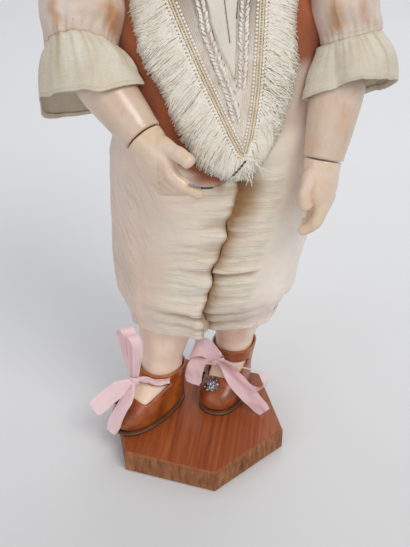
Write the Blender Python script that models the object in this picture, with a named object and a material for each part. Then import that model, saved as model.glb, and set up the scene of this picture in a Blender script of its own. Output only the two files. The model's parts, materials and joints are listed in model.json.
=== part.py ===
"""Bisque doll in a satin romper, strung with elastic, on a hexagonal wooden base."""
import math

import bmesh
import bpy
import numpy as np

# Sizes in millimetres, turned into metres where each mesh is made
MM = 0.001
GAP = 0.3
LOOSE = 0.6
SEAT = 1.0

# Wooden base
BASE_RADIUS = 60.0
BASE_THICK = 16.0
BASE_TURN = 41.8
BASE_BEVEL = 1.2

# Wire stand behind the legs
STAND_RADIUS = 1.6
STAND_X = 4.0
STAND_Y = 46.5
STAND_KINK = 56.0
STAND_EYE = 5.2
STAND_EYE_X = 3.0
STAND_EYE_Y = 38.0
STAND_BEND = 160.0
SCREW_HEAD = 4.6
SCREW_SHANK = 2.2
SCREW_DEPTH = 10.0

# Body middle line and heights above the floor
CENTRE_X = 9.0
CENTRE_Y = 16.0
HIP_Z = 214.0
HIP_OUT = 22.5
SHOULDER_Z = 322.0
SHOULDER_OUT = 54.0
NECK_Z = 353.0
NECK_Y = 18.0
TORSO_WALL = 4.0

# Joint balls
SHOULDER_BALL = 13.0
ELBOW_BALL = 11.0
WRIST_BALL = 8.0
HIP_BALL = 16.0
KNEE_BALL = 14.0
NECK_BALL = 15.0

# Arms
FOREARM_LENGTH = 60.0
ELBOW_RIGHT = (-61.5, -1.5, 261.5)
ELBOW_LEFT = (78.5, -2.0, 263.0)
REACH_RIGHT = (37.0, -29.0, -39.5)
REACH_LEFT = (-9.5, -18.0, -54.0)
ARM_RADIUS = 11.6
FOREARM_RADIUS = 14.2
WRIST_RADIUS = 10.8

# Legs
KNEE_Z = 124.0
KNEE_RIGHT = (-16.0, 15.5)
KNEE_LEFT = (31.0, 16.5)
ANKLE_RIGHT = (-22.0, 9.0)
ANKLE_LEFT = (26.5, 35.0)
THIGH_RADIUS = 16.6
CALF_RADIUS = 18.2
ANKLE_RADIUS = 12.4

# Shoes
TURN_RIGHT = 43.0
TURN_LEFT = 22.0
SHOE_TOE = 43.0
SHOE_HEEL = 16.5
SHOE_WIDE = 15.0
SOLE_THICK = 2.2
SOLE_LIP = 0.4
LEATHER = 1.3
COLLAR_UP = 31.5
BUTTON_RADIUS = 5.6
BUTTON_UP = 15.0
BUTTON_ASIDE = -3.5
RIBBON_WIDE = 9.0

# Elastic and wire
CORD = 1.5
BORE = CORD + GAP
WIRE = 0.8

# Head
HEAD_WIDE = 32.0
HEAD_DEEP = 36.5
HEAD_BASE = 368.0
HEAD_TALL = 86.0
HEAD_WALL = 3.6
CROWN_CUT = 0.86
HEAD_POINTS = 22
EYE_RADIUS = 6.4
EYE_OUT = 12.6
EYE_UP = 0.40

# Clothes
CLOTH = 1.2
ROMPER_X = 11.0
ROMPER_WIDE = 59.0
ROMPER_DEEP = 37.5
ROMPER_TOP = 200.0
HEM_Z = 93.0
BACK_GAP = 3.4
BODICE_WIDE = 43.8
ARMHOLE = 19.6
SLEEVE_START = BODICE_WIDE + GAP
SLEEVE_END = 264.0
CUFF_DROP = 25.0


def unit(vector):
    vector = np.asarray(vector, float)
    return vector / np.linalg.norm(vector)


def axes_along(direction, hint=(0.0, -1.0, 0.0)):
    along = unit(direction)
    hint = np.asarray(hint, float)
    side = unit(hint - along * hint.dot(along))
    return np.cross(side, along), side, along


def smooth(low, high, value):
    t = np.clip((value - low) / (high - low), 0.0, 1.0)
    return t * t * (3.0 - 2.0 * t)


def table(rows, column, value):
    rows = np.asarray(rows, float)
    return float(np.interp(value, rows[:, 0], rows[:, column]))


def material(name, colour, rough, metal=0.0):
    made = bpy.data.materials.get(name)
    if made is None:
        made = bpy.data.materials.new(name)
        made.use_nodes = True
        shader = made.node_tree.nodes["Principled BSDF"]
        shader.inputs["Base Color"].default_value = (*colour, 1.0)
        shader.inputs["Roughness"].default_value = rough
        shader.inputs["Metallic"].default_value = metal
        made.diffuse_color = (*colour, 1.0)
    return made


WOOD = ("base wood", (0.30, 0.12, 0.05), 0.5, 0.0)
STEEL = ("stand steel", (0.55, 0.55, 0.55), 0.3, 1.0)
COMPO = ("body composition", (0.72, 0.48, 0.34), 0.35, 0.0)
BISQUE = ("head bisque", (0.85, 0.66, 0.56), 0.55, 0.0)
GLASS = ("eye glass", (0.10, 0.20, 0.30), 0.08, 0.0)
CORK = ("pate cork", (0.45, 0.28, 0.14), 0.9, 0.0)
HAIR = ("wig hair", (0.16, 0.08, 0.04), 0.6, 0.0)
SATIN = ("romper satin", (0.78, 0.60, 0.50), 0.5, 0.0)
GAUZE = ("cuff gauze", (0.68, 0.62, 0.48), 0.8, 0.0)
FRINGE = ("collar fringe", (0.72, 0.64, 0.48), 0.8, 0.0)
BRAID = ("collar braid", (0.66, 0.55, 0.32), 0.7, 0.0)
PANEL = ("front panel cloth", (0.55, 0.52, 0.44), 0.8, 0.0)
HIDE = ("shoe leather", (0.36, 0.13, 0.03), 0.4, 0.0)
SOLES = ("shoe sole leather", (0.07, 0.035, 0.02), 0.6, 0.0)
RIBBON = ("ribbon silk", (0.85, 0.55, 0.60), 0.5, 0.0)
BEAD = ("cut steel", (0.45, 0.45, 0.46), 0.25, 1.0)
ELASTIC = ("elastic cord", (0.75, 0.70, 0.60), 0.8, 0.0)


def add_solid(name, points, faces, look, origin=(0.0, 0.0, 0.0)):
    origin = np.asarray(origin, float)
    points = (np.asarray(points, float) - origin) * MM
    mesh = bpy.data.meshes.new(name)
    mesh.from_pydata([tuple(p) for p in points], [], [tuple(f) for f in faces])
    work = bmesh.new()
    work.from_mesh(mesh)
    bmesh.ops.recalc_face_normals(work, faces=work.faces)
    work.to_mesh(mesh)
    work.free()
    solid = bpy.data.objects.new(name, mesh)
    solid.location = origin * MM
    bpy.context.scene.collection.objects.link(solid)
    if look:
        solid.data.materials.append(material(*look))
    return solid


def strips(rows, start, flip=False):
    faces = []
    count = rows[1]
    for k in range(rows[0] - 1):
        for i in range(count):
            j = (i + 1) % count
            a = start + k * count
            face = [a + i, a + j, a + count + j, a + count + i]
            faces.append(face[::-1] if flip else face)
    return faces


def closed_loft(rings):
    """A solid from rings of points, with a fan of triangles over each end."""
    rings = [np.asarray(r, float) for r in rings]
    count = len(rings[0])
    points = np.vstack(rings + [rings[0].mean(0)[None], rings[-1].mean(0)[None]])
    faces = strips((len(rings), count), 0)
    first = len(rings) * count
    last = (len(rings) - 1) * count
    for i in range(count):
        j = (i + 1) % count
        faces.append([first, j, i])
        faces.append([first + 1, last + i, last + j])
    return points, faces


def open_shell(outer, inner):
    """A tube with a wall, open at both ends."""
    outer = [np.asarray(r, float) for r in outer]
    inner = [np.asarray(r, float) for r in inner]
    count = len(outer[0])
    points = np.vstack(outer + inner)
    half = len(outer) * count
    faces = strips((len(outer), count), 0) + strips((len(inner), count), half, True)
    top = half - count
    inner_top = len(points) - count
    for i in range(count):
        j = (i + 1) % count
        faces.append([i, half + i, half + j, j])
        faces.append([top + i, top + j, inner_top + j, inner_top + i])
    return points, faces


def shrink(rings, wall):
    """The inner face of a wall, by moving each point along the surface normal."""
    grid = np.asarray(rings, float)
    around = np.roll(grid, -1, 1) - np.roll(grid, 1, 1)
    along = np.gradient(grid, axis=0)
    normal = np.cross(around, along)
    normal /= np.linalg.norm(normal, axis=2)[:, :, None]
    middle = grid.mean(1)[:, None, :]
    flip = np.sign(np.sum(normal * (grid - middle), 2).sum())
    return list(grid - normal * flip * wall)


def turned(name, profile, centre, direction, look, count=14, hint=(0.0, -1.0, 0.0), flat=1.0):
    """A turned solid: profile is a closed loop of (radius, distance along)."""
    across, side, along = axes_along(direction, hint)
    centre = np.asarray(centre, float)
    points = []
    places = []
    for radius, run in profile:
        if radius < 1e-6:
            places.append([len(points)] * count)
            points.append(centre + along * run)
            continue
        places.append([len(points) + i for i in range(count)])
        for i in range(count):
            angle = 2 * math.pi * i / count
            spoke = across * math.cos(angle) * flat + side * math.sin(angle)
            points.append(centre + along * run + spoke * radius)
    faces = []
    for k in range(len(profile)):
        here = places[k]
        there = places[(k + 1) % len(profile)]
        for i in range(count):
            j = (i + 1) % count
            face = [here[i], here[j], there[j], there[i]]
            face = [f for n, f in enumerate(face) if f not in face[:n]]
            if len(face) > 2:
                faces.append(face)
    return add_solid(name, points, faces, look, centre)


def arc_profile(ball, first, last, run=0.0, steps=5):
    """Points of a ball's outline from one radius to another, above or below its middle."""
    start = math.asin(min(1.0, first / ball))
    stop = math.asin(min(1.0, last / ball))
    rows = []
    for k in range(steps + 1):
        angle = start + (stop - start) * k / steps
        rows.append((ball * math.sin(angle), run * ball * math.cos(angle)))
    return rows


def sweep(path, radius, count=8, hint=(0.0, 0.0, 1.0), tall=None):
    """A tube along a path, with mitred turns."""
    path = [np.asarray(p, float) for p in path]
    rings = []
    side = None
    for k, place in enumerate(path):
        before = path[max(k - 1, 0)]
        after = path[min(k + 1, len(path) - 1)]
        along = unit(after - before)
        if side is None:
            across, side, along = axes_along(along, hint)
        else:
            side = unit(side - along * side.dot(along))
            across = np.cross(side, along)
        angles = 2 * np.pi * np.arange(count) / count
        wide = np.outer(np.cos(angles), across) * radius
        high = np.outer(np.sin(angles), side) * (tall or radius)
        rings.append(place + wide + high)
    return closed_loft(rings)


def cut(solid, tool, operation="DIFFERENCE"):
    tool.hide_render = True
    tool.display_type = "WIRE"
    step = solid.modifiers.new(tool.name, "BOOLEAN")
    step.operation = operation
    step.solver = "EXACT"
    step.object = tool


def ball_tool(name, centre, radius, count=20):
    rows = [(0.0, -radius)]
    for k in range(1, count // 2):
        angle = math.pi * k / (count // 2)
        rows.append((radius * math.sin(angle), -radius * math.cos(angle)))
    rows.append((0.0, radius))
    return turned(name, rows[:-1] + [rows[-1]], centre, (0, 0, 1), None, count, (0, -1, 0))


def rod(name, start, stop, radius, look, count=10):
    start = np.asarray(start, float)
    stop = np.asarray(stop, float)
    points, faces = sweep([start, stop], radius, count, (0.31, 0.2, 0.93))
    return add_solid(name, points, faces, look, start)


def clear_scene():
    for item in list(bpy.data.objects):
        bpy.data.objects.remove(item, do_unlink=True)


def shoulder(side):
    return np.array([CENTRE_X + side * SHOULDER_OUT, CENTRE_Y, SHOULDER_Z])


def hip(side):
    return np.array([CENTRE_X + side * HIP_OUT, CENTRE_Y, HIP_Z])


def elbow(side):
    return np.array(ELBOW_RIGHT if side < 0 else ELBOW_LEFT)


def reach(side):
    return unit(REACH_RIGHT if side < 0 else REACH_LEFT)


def wrist(side):
    return elbow(side) + reach(side) * FOREARM_LENGTH


def knee(side):
    return np.array([*(KNEE_RIGHT if side < 0 else KNEE_LEFT), KNEE_Z])


def ankle(side):
    return np.array([*(ANKLE_RIGHT if side < 0 else ANKLE_LEFT), 0.0])


def label(name, side):
    return name + ("_R" if side < 0 else "_L")


def oval(centre, wide, deep, count=24, power=2.4):
    angles = 2 * np.pi * np.arange(count) / count
    c = np.cos(angles)
    s = np.sin(angles)
    x = centre[0] + wide * np.sign(c) * np.abs(c) ** (2 / power)
    y = centre[1] + deep * np.sign(s) * np.abs(s) ** (2 / power)
    return np.column_stack([x, y, np.full(count, float(centre[2]))])


def cup(outer, inner):
    """A solid with one open end: both walls run from the closed end to the rim."""
    outer = [np.asarray(r, float) for r in outer]
    inner = [np.asarray(r, float) for r in inner]
    count = len(outer[0])
    points = np.vstack(outer + inner + [outer[0].mean(0)[None], inner[0].mean(0)[None]])
    half = len(outer) * count
    total = half + len(inner) * count
    faces = strips((len(outer), count), 0) + strips((len(inner), count), half, True)
    rim = (len(outer) - 1) * count
    inner_rim = half + (len(inner) - 1) * count
    for i in range(count):
        j = (i + 1) % count
        faces.append([total, j, i])
        faces.append([total + 1, half + i, half + j])
        faces.append([rim + i, rim + j, inner_rim + j, inner_rim + i])
    return points, faces


def make_base():
    rings = []
    for inset, height in ((BASE_BEVEL, 0.0), (0.0, BASE_BEVEL),
                          (0.0, BASE_THICK - BASE_BEVEL), (BASE_BEVEL, BASE_THICK)):
        corners = []
        for k in range(6):
            angle = math.radians(BASE_TURN + 60 * k)
            radius = BASE_RADIUS - inset
            corners.append((radius * math.cos(angle), radius * math.sin(angle), height))
        rings.append(corners)
    base = add_solid("base_block", *closed_loft(rings), WOOD)
    top = (STAND_EYE_X, STAND_EYE_Y, BASE_THICK)
    hole = [(0.0, -SCREW_DEPTH - LOOSE), (SCREW_SHANK + GAP, -SCREW_DEPTH - LOOSE),
            (SCREW_SHANK + GAP, 5.0), (0.0, 5.0)]
    cut(base, turned("screw hole", hole, top, (0, 0, 1), None, 12))


def make_stand():
    """A steel wire bent into an eye on the base, running up into the pelvis."""
    foot = BASE_THICK + GAP + STAND_RADIUS
    path = []
    for k in range(13):
        angle = math.radians(-250 + 320 * k / 12)
        path.append((STAND_EYE_X + STAND_EYE * math.cos(angle), STAND_EYE_Y + STAND_EYE * math.sin(angle),
                     foot))
    path.append((STAND_X + 0.8, STAND_EYE_Y + STAND_EYE + 1.6, foot + 0.6))
    path.append((STAND_X, STAND_Y - 0.5, foot + 3.5))
    path.append((STAND_X, STAND_Y, foot + 8.0))
    path.append((STAND_X, STAND_Y, STAND_KINK))
    path.append((CENTRE_X, STAND_Y, STAND_KINK + 30.0))
    path.append((CENTRE_X, STAND_Y, STAND_BEND))
    path.append((CENTRE_X, STAND_Y - 8.0, STAND_BEND + 14.0))
    path.append((CENTRE_X, CENTRE_Y + 10.0, STAND_BEND + 28.0))
    path.append((CENTRE_X, CENTRE_Y + 2.0, STAND_BEND + 38.0))
    path.append((CENTRE_X, CENTRE_Y, HIP_Z - 6.0))
    path.append((CENTRE_X, CENTRE_Y, HIP_Z + 12.0))
    points, faces = sweep(path, STAND_RADIUS, 8)
    add_solid("stand_post", points, faces, STEEL)
    top = foot + STAND_RADIUS + GAP
    rows = [(0.0, top + 3.0), (SCREW_HEAD * 0.5, top + 2.8), (SCREW_HEAD, top + 1.4), (SCREW_HEAD, top)]
    rows += [(SCREW_SHANK, top), (SCREW_SHANK, BASE_THICK - SCREW_DEPTH + 2.0),
             (0.0, BASE_THICK - SCREW_DEPTH)]
    turned("stand_screw", rows, (STAND_EYE_X, STAND_EYE_Y, 0.0), (0, 0, 1), STEEL, 12)


TORSO_ROWS = ((-1, 37, 27), (3, 39.5, 29.2), (24, 36.5, 27.5), (38, 34.5, 26), (66, 38, 28),
              (90, 39.5, 25.5), (105, 43.6, 21), (113, 42.4, 19), (122, 33, 17.6),
              (130, 21, 16), (139, 17, 15.5))


def torso_ring(rise, inset=0.0):
    wide = table(TORSO_ROWS, 1, rise) - inset
    deep = table(TORSO_ROWS, 2, rise) - inset
    back = (NECK_Y - CENTRE_Y) * smooth(110, 130, rise)
    return oval((CENTRE_X, CENTRE_Y + back, HIP_Z + rise), wide, deep, 20)


def make_torso():
    outer = [torso_ring(row[0]) for row in TORSO_ROWS]
    inner = [torso_ring(rise, TORSO_WALL) for rise in (28, 66, 105, 113, 139)]
    torso = add_solid("torso", *cup(outer, inner), COMPO)
    for side in (-1, 1):
        cut(torso, ball_tool(label("hip socket", side), hip(side), HIP_BALL + SEAT, 14))
        cut(torso, ball_tool(label("shoulder socket", side), shoulder(side), SHOULDER_BALL + SEAT, 14))
        start = hip(side) + (0, 0, HIP_BALL - 4)
        cut(torso, rod(label("hip bore", side), start, start + (0, 0, 24), BORE + 0.1, None, 8))
        start = shoulder(side) - (side * (SHOULDER_BALL - 4), 0, 0)
        cut(torso, rod(label("arm bore", side), start, start - (side * 16, 0, 0), BORE + 0.1, None, 8))
    cut(torso, ball_tool("neck bowl", neck_middle(), NECK_BALL + SEAT, 14))
    post = np.array([CENTRE_X, CENTRE_Y, HIP_Z - 8])
    cut(torso, rod("post bore", post, post + (0, 0, 20.0 + LOOSE), STAND_RADIUS + GAP, None, 10))


def neck_middle():
    return np.array([CENTRE_X, NECK_Y, NECK_Z + 9.0])


def make_elastic():
    tops = SHOULDER_OUT - SHOULDER_BALL - LOOSE
    rod("elastic_arms", (CENTRE_X - tops, CENTRE_Y, SHOULDER_Z), (CENTRE_X + tops, CENTRE_Y, SHOULDER_Z),
        CORD, ELASTIC)
    apex = neck_middle() - (0, 0, 19.0)
    path = []
    for side in (-1, 1):
        start = hip(side) + (0, 0, HIP_BALL + LOOSE)
        leg = [start, start + (0, 0, 13),
               (CENTRE_X + side * 7, CENTRE_Y + 7.5, SHOULDER_Z - 14),
               (CENTRE_X + side * 5, CENTRE_Y + 7, SHOULDER_Z + 4),
               (CENTRE_X + side * 3.5, NECK_Y + 2, apex[2] - 5),
               (CENTRE_X + side * 2.2, NECK_Y, apex[2] - 1.2)]
        path += leg if side < 0 else [apex] + leg[::-1]
    points, faces = sweep(path, CORD, 6, (0, 1, 0))
    add_solid("elastic_body", points, faces, ELASTIC)
    eye = CORD + WIRE + GAP + 0.1
    path = []
    for k in range(13):
        angle = math.radians(-240 + 330 * k / 12)
        path.append((CENTRE_X, NECK_Y + eye * math.cos(angle), apex[2] + eye * math.sin(angle)))
    path.append((CENTRE_X, NECK_Y, apex[2] + eye + 3.0))
    path.append((CENTRE_X, NECK_Y, NECK_Z + 16.0))
    points, faces = sweep(path, WIRE, 6, (1, 0, 0))
    add_solid("neck_hook", points, faces, STEEL)


HEAD_ROWS = ((-0.06, 13.2, 13.2, 13.2), (0.0, 15.5, 20, 14.5), (0.03, 18, 25.5, 16), (0.10, 24, 29, 22),
             (0.20, 29, 30.5, 29), (0.30, 31.3, 31, 33.5), (0.42, 32, 30.6, 36.5), (0.55, 32, 31.5, 37.5),
             (0.68, 31, 31.5, 36.5), (0.80, 27.5, 28.5, 32.5), (0.88, 22.5, 23.5, 27), (0.95, 14.5, 15.5, 18),
             (1.0, 1.5, 1.5, 2.0))


def head_ring(level, grow=0.0, count=HEAD_POINTS, face=True, shift=None):
    """One level of the head, closer points in front, with nose, lips, cheeks and eye hollows."""
    turn = 2 * np.pi * np.arange(count) / count
    turn = turn + 0.28 * np.sin(turn)
    levels = np.full(count, level) if shift is None else level
    wide = np.interp(levels, [r[0] for r in HEAD_ROWS], [r[1] for r in HEAD_ROWS]) * HEAD_WIDE / 32 + grow
    front = np.interp(levels, [r[0] for r in HEAD_ROWS], [r[2] for r in HEAD_ROWS]) * HEAD_DEEP / 36.5 + grow
    back = np.interp(levels, [r[0] for r in HEAD_ROWS], [r[3] for r in HEAD_ROWS]) * HEAD_DEEP / 36.5 + grow
    s = np.sin(turn)
    c = -np.cos(turn)
    x = -wide * s
    y = np.where(c < 0, front, back) * np.sign(c) * np.abs(c) ** 0.9
    if face:
        ahead = np.where(c < 0, np.abs(c), 0.0)
        up = levels
        nose = 4.4 * np.exp(-(x / 3.2) ** 2) * np.exp(-((up - 0.285) / 0.045) ** 2)
        bridge = 1.5 * np.exp(-(x / 3.0) ** 2) * np.exp(-((up - 0.37) / 0.07) ** 2)
        hollow = 1.9 * np.exp(-((np.abs(x) - EYE_OUT) / 6.5) ** 2) * np.exp(-((up - EYE_UP) / 0.06) ** 2)
        lips = 1.5 * np.exp(-(x / 5.5) ** 2) * np.exp(-((up - 0.165) / 0.035) ** 2)
        chin = 1.6 * np.exp(-(x / 8.0) ** 2) * np.exp(-((up - 0.05) / 0.05) ** 2)
        y = y - ahead * (nose + bridge + lips + chin - hollow)
    z = HEAD_BASE + levels * HEAD_TALL
    return np.column_stack([CENTRE_X + x, NECK_Y - 2.0 + y, z])


def make_head():
    middle = neck_middle()
    ball = np.array(arc_profile(NECK_BALL, WIRE + GAP + 0.2, 13.2, -1, 3))
    levels = (0.0, 0.04, 0.10, 0.165, 0.22, 0.26, 0.295, 0.34, 0.40, 0.47, 0.60, 0.75, CROWN_CUT)
    turn = 2 * np.pi * np.arange(HEAD_POINTS) / HEAD_POINTS
    turn = turn + 0.28 * np.sin(turn)
    spokes = np.column_stack([-np.sin(turn), -np.cos(turn), np.zeros(HEAD_POINTS)])
    outer = [middle + spokes * r + (0, 0, s) for r, s in ball]
    outer.append(middle + spokes * 13.0 + (0, 0, 0.5))
    outer += [head_ring(level) for level in levels]
    floor = middle[2] - NECK_BALL + 3.2
    inner = [np.array([CENTRE_X, NECK_Y, floor]) + spokes * r + (0, 0, up)
             for r, up in ((WIRE + GAP + 0.2, 0.0), (7.0, 0.1), (9.4, 2.4))]
    inner.append(middle + spokes * 9.6 + (0, 0, 0.5))
    inner += [head_ring(level, -HEAD_WALL - 0.8 * (level < 0.2), face=False)
              for level in (0.0, 0.12, 0.30, 0.55, 0.75, CROWN_CUT)]
    head = add_solid("head", *open_shell(outer, inner), BISQUE, middle)
    for side in (-1, 1):
        place = eye_place(side)
        cut(head, ball_tool(label("eye hole", side), place, EYE_RADIUS + GAP, 16))
        rows = [(0.0, -EYE_RADIUS)] + [(EYE_RADIUS * math.sin(a), -EYE_RADIUS * math.cos(a))
                                       for a in np.radians(np.arange(22.5, 180, 22.5))] + [(0.0, EYE_RADIUS)]
        turned(label("eye", side), rows, place, (0, -1, 0), GLASS, 12, (0, 0, 1))
    levels = (CROWN_CUT + 0.3 / HEAD_TALL, 0.92, 0.97)
    add_solid("cork_pate", *closed_loft([head_ring(level, face=False) for level in levels]), CORK, middle)
    seat = floor + GAP
    rows = [(WIRE + GAP, seat), (6.0, seat), (5.2, seat + 2.6), (3.0, seat + 4.4), (WIRE + GAP, seat + 5.0)]
    turned("neck_button", rows, (CENTRE_X, NECK_Y, 0.0), (0, 0, 1), WOOD, 12)


def eye_place(side):
    return np.array([CENTRE_X + side * EYE_OUT, NECK_Y - 2.0 - 21.2, HEAD_BASE + EYE_UP * HEAD_TALL])


def make_wig():
    """A short bob: the lower edge is a fringe in front and hangs to the jaw at sides and back."""
    count = HEAD_POINTS
    turn = 2 * np.pi * np.arange(count) / count
    turn = turn + 0.28 * np.sin(turn)
    away = (1 - np.cos(turn)) / 2
    edge = 0.62 - 0.50 * smooth(0.10, 0.34, away) - 0.05 * smooth(0.5, 1.0, away)
    outer = []
    inner = []
    for t in (0.0, 0.14, 0.38, 0.62, 0.82, 0.93, 0.97):
        level = edge + (1.0 - edge) * t
        puff = 6.5 - 2.0 * smooth(0.3, 1.0, t) + 1.6 * math.sin(math.pi * min(1, t * 1.6)) - 2.2 * (t < 0.05)
        locks = 0.5 * np.cos(np.arange(count) * np.pi)
        ring = head_ring(level, puff, count, False, True)
        ring[:, 2] += 5.6 * smooth(0.45, 0.97, t)
        ring[:, :2] += (ring[:, :2] - (CENTRE_X, NECK_Y - 2)) / 40 * locks[:, None]
        outer.append(ring)
        if t == 0.14:
            continue
        inside = head_ring(np.maximum(level, 0.22), 2.4, count, False, True)
        inside[:, 2] = HEAD_BASE + level * HEAD_TALL + 1.6 * smooth(0.5, 0.97, t) + 0.3
        inner.append(inside)
    add_solid("wig", *cup(outer[::-1], inner[::-1]), HAIR, neck_middle())


def make_arm(side):
    start = shoulder(side)
    bend = elbow(side)
    along = unit(bend - start)
    length = float(np.linalg.norm(bend - start))
    seat = ELBOW_BALL + LOOSE
    rim = 8.0
    rows = [(SHOULDER_BALL * math.sin(a), -SHOULDER_BALL * math.cos(a))
            for a in np.linspace(math.asin(BORE / SHOULDER_BALL), math.radians(112), 5)]
    rows += [(11.4, 9.0), (ARM_RADIUS, 24.0), (ARM_RADIUS - 0.5, length - 22.0), (10.2, length - 13.0),
             (rim, length - math.sqrt(seat ** 2 - rim ** 2))]
    rows += [(r, length - s) for r, s in arc_profile(seat, rim, BORE, 1, 3)][1:]
    turned(label("upper_arm", side), rows, start, along, COMPO)
    rod(label("elastic_upper_arm", side), start - along * (SHOULDER_BALL - 0.8),
        bend - along * (ELBOW_BALL + LOOSE), CORD, ELASTIC)

    hand_way = reach(side)
    ball = [(ELBOW_BALL * math.sin(a), -ELBOW_BALL * math.cos(a))
            for a in np.linspace(math.asin(BORE / ELBOW_BALL), math.pi - math.asin(BORE / ELBOW_BALL), 6)]
    turned(label("elbow_ball", side), ball, bend, hand_way, COMPO)
    rows = arc_profile(ELBOW_BALL + GAP, BORE, rim, 1, 3)
    rows += [(11.6, 13.5), (FOREARM_RADIUS, 22.0), (FOREARM_RADIUS - 0.8, 34.0),
             (WRIST_RADIUS + 1.0, FOREARM_LENGTH - 12.0), (WRIST_RADIUS, FOREARM_LENGTH - 1.5),
             (WRIST_RADIUS - 0.7, FOREARM_LENGTH - GAP)]
    cup_seat = WRIST_BALL + GAP
    rows += [(cup_seat * math.cos(a), FOREARM_LENGTH - 2.0 - cup_seat * math.sin(a))
             for a in np.linspace(-math.asin((2.0 - GAP) / cup_seat), math.acos(BORE / cup_seat), 5)]
    turned(label("forearm", side), rows, bend, hand_way, COMPO)
    rod(label("elastic_forearm", side), bend - hand_way * (ELBOW_BALL - 0.8),
        bend + hand_way * (FOREARM_LENGTH - 2.0 - WRIST_BALL - LOOSE), CORD, ELASTIC)


# Hand directions: along the palm and towards the thumb side
HAND_RIGHT = ((0.45, -0.42, -0.79), (0.48, -0.66, 0.58))
HAND_LEFT = ((0.06, -0.12, -0.99), (-0.36, -0.92, 0.09))
KNUCKLE = 20.0
# Finger roots across the palm, lengths and spread, from the little finger to the forefinger
FINGERS = ((-9.2, 17.5, -0.10), (-3.1, 20.5, -0.03), (3.2, 22.0, 0.05), (9.3, 23.5, 0.17))
# How far each finger has bent towards the palm at its four stretches
CURL_RIGHT = ((0.25, 0.75, 1.15, 1.35), (0.22, 0.65, 1.05, 1.25), (0.18, 0.55, 0.95, 1.1),
              (0.10, 0.40, 0.62, 0.72))
CURL_LEFT = ((0.1, 0.6, 1.1, 1.4), (0.1, 0.55, 1.05, 1.35), (0.1, 0.5, 1.0, 1.3), (0.05, 0.45, 0.9, 1.2))
# Thumb: along the palm, towards the thumb side, towards the inside of the palm
THUMB_RIGHT = ((8.0, 6.2, 1.9), (12.0, 12.0, 2.2), (16.5, 17.5, 2.6), (21.5, 21.5, 3.2), (25.5, 23.0, 3.8))
THUMB_LEFT = ((5.4, 6.2, 1.9), (9.0, 9.6, 4.4), (15.0, 12.4, 6.6), (20.5, 13.2, 6.6), (24.4, 12.8, 5.4))


def hand_axes(side):
    way, thumb = HAND_RIGHT if side < 0 else HAND_LEFT
    way = unit(way)
    thumb = unit(np.asarray(thumb) - way * np.dot(thumb, way))
    palm = np.cross(thumb, way) * (1 if side < 0 else -1)
    return way, thumb, palm


def finger_path(side, n):
    way, thumb, palm = hand_axes(side)
    across, length, spread = FINGERS[n]
    place = wrist(side) + way * KNUCKLE + thumb * across * 0.96 - palm * 1.0
    path = [place]
    for k, bend in enumerate((CURL_RIGHT if side < 0 else CURL_LEFT)[n]):
        step = way * math.cos(bend) + palm * math.sin(bend) + thumb * spread * (1 if k < 2 else 0.4)
        place = place + unit(step) * length * (0.28, 0.28, 0.24, 0.2)[k]
        path.append(place)
    return path


def finger_solid(name, path, radius, look=None):
    path = [np.asarray(p, float) for p in path]
    way = unit(path[-1] - path[-2])
    path = path[:-1] + [path[-1] - way * radius * 0.3, path[-1] + way * radius * 0.25]
    radii = np.interp(np.linspace(0, 1, len(path)), (0, 0.5, 0.85, 1.0), (1.05, 1.0, 0.86, 0.42)) * radius
    rings = []
    up = np.array([0.61, 0.71, 0.35])
    for k, place in enumerate(path):
        along = unit(path[min(k + 1, len(path) - 1)] - path[max(k - 1, 0)])
        across, up, along = axes_along(along, up)
        angles = 2 * np.pi * (np.arange(6) + 0.5) / 6
        rings.append(place + radii[k] * (np.outer(np.cos(angles), across) + np.outer(np.sin(angles), up)))
    return add_solid(name, *closed_loft(rings), look)


def make_hand(side):
    way, thumb, palm = hand_axes(side)
    start = wrist(side)
    rows = ((0.0, 10.2, 10.0), (4.0, 10.3, 8.8), (9.0, 12.0, 8.4), (15.0, 13.2, 7.6),
            (KNUCKLE, 12.8, 6.2), (KNUCKLE + 4.0, 11.0, 4.3))
    rings = []
    for run, wide, thick in rows:
        turn = smooth(0.0, 9.0, run)
        along = unit(reach(side) * (1 - turn) + way * turn)
        across, up, along = axes_along(along, palm)
        angles = 2 * np.pi * np.arange(14) / 14
        place = start + reach(side) * min(run, 4.0) + way * max(run - 4.0, 0.0)
        rings.append(place + np.outer(np.cos(angles), across) * wide + np.outer(np.sin(angles), up) * thick)
    hand = add_solid(label("hand", side), *closed_loft(rings), COMPO, start)
    ball = ball_tool(label("wrist ball", side), start - reach(side) * 2.0, WRIST_BALL - 2 * GAP, 12)
    cut(hand, ball, "UNION")
    path = [start + way * a + thumb * b + palm * c for a, b, c in (THUMB_RIGHT if side < 0 else THUMB_LEFT)]
    cut(hand, finger_solid(label("thumb", side), path, 3.8), "UNION")
    for n in range(len(FINGERS)):
        tool = finger_solid(label("finger %d" % n, side), finger_path(side, n), 3.0)
        cut(hand, tool, "UNION")


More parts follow.
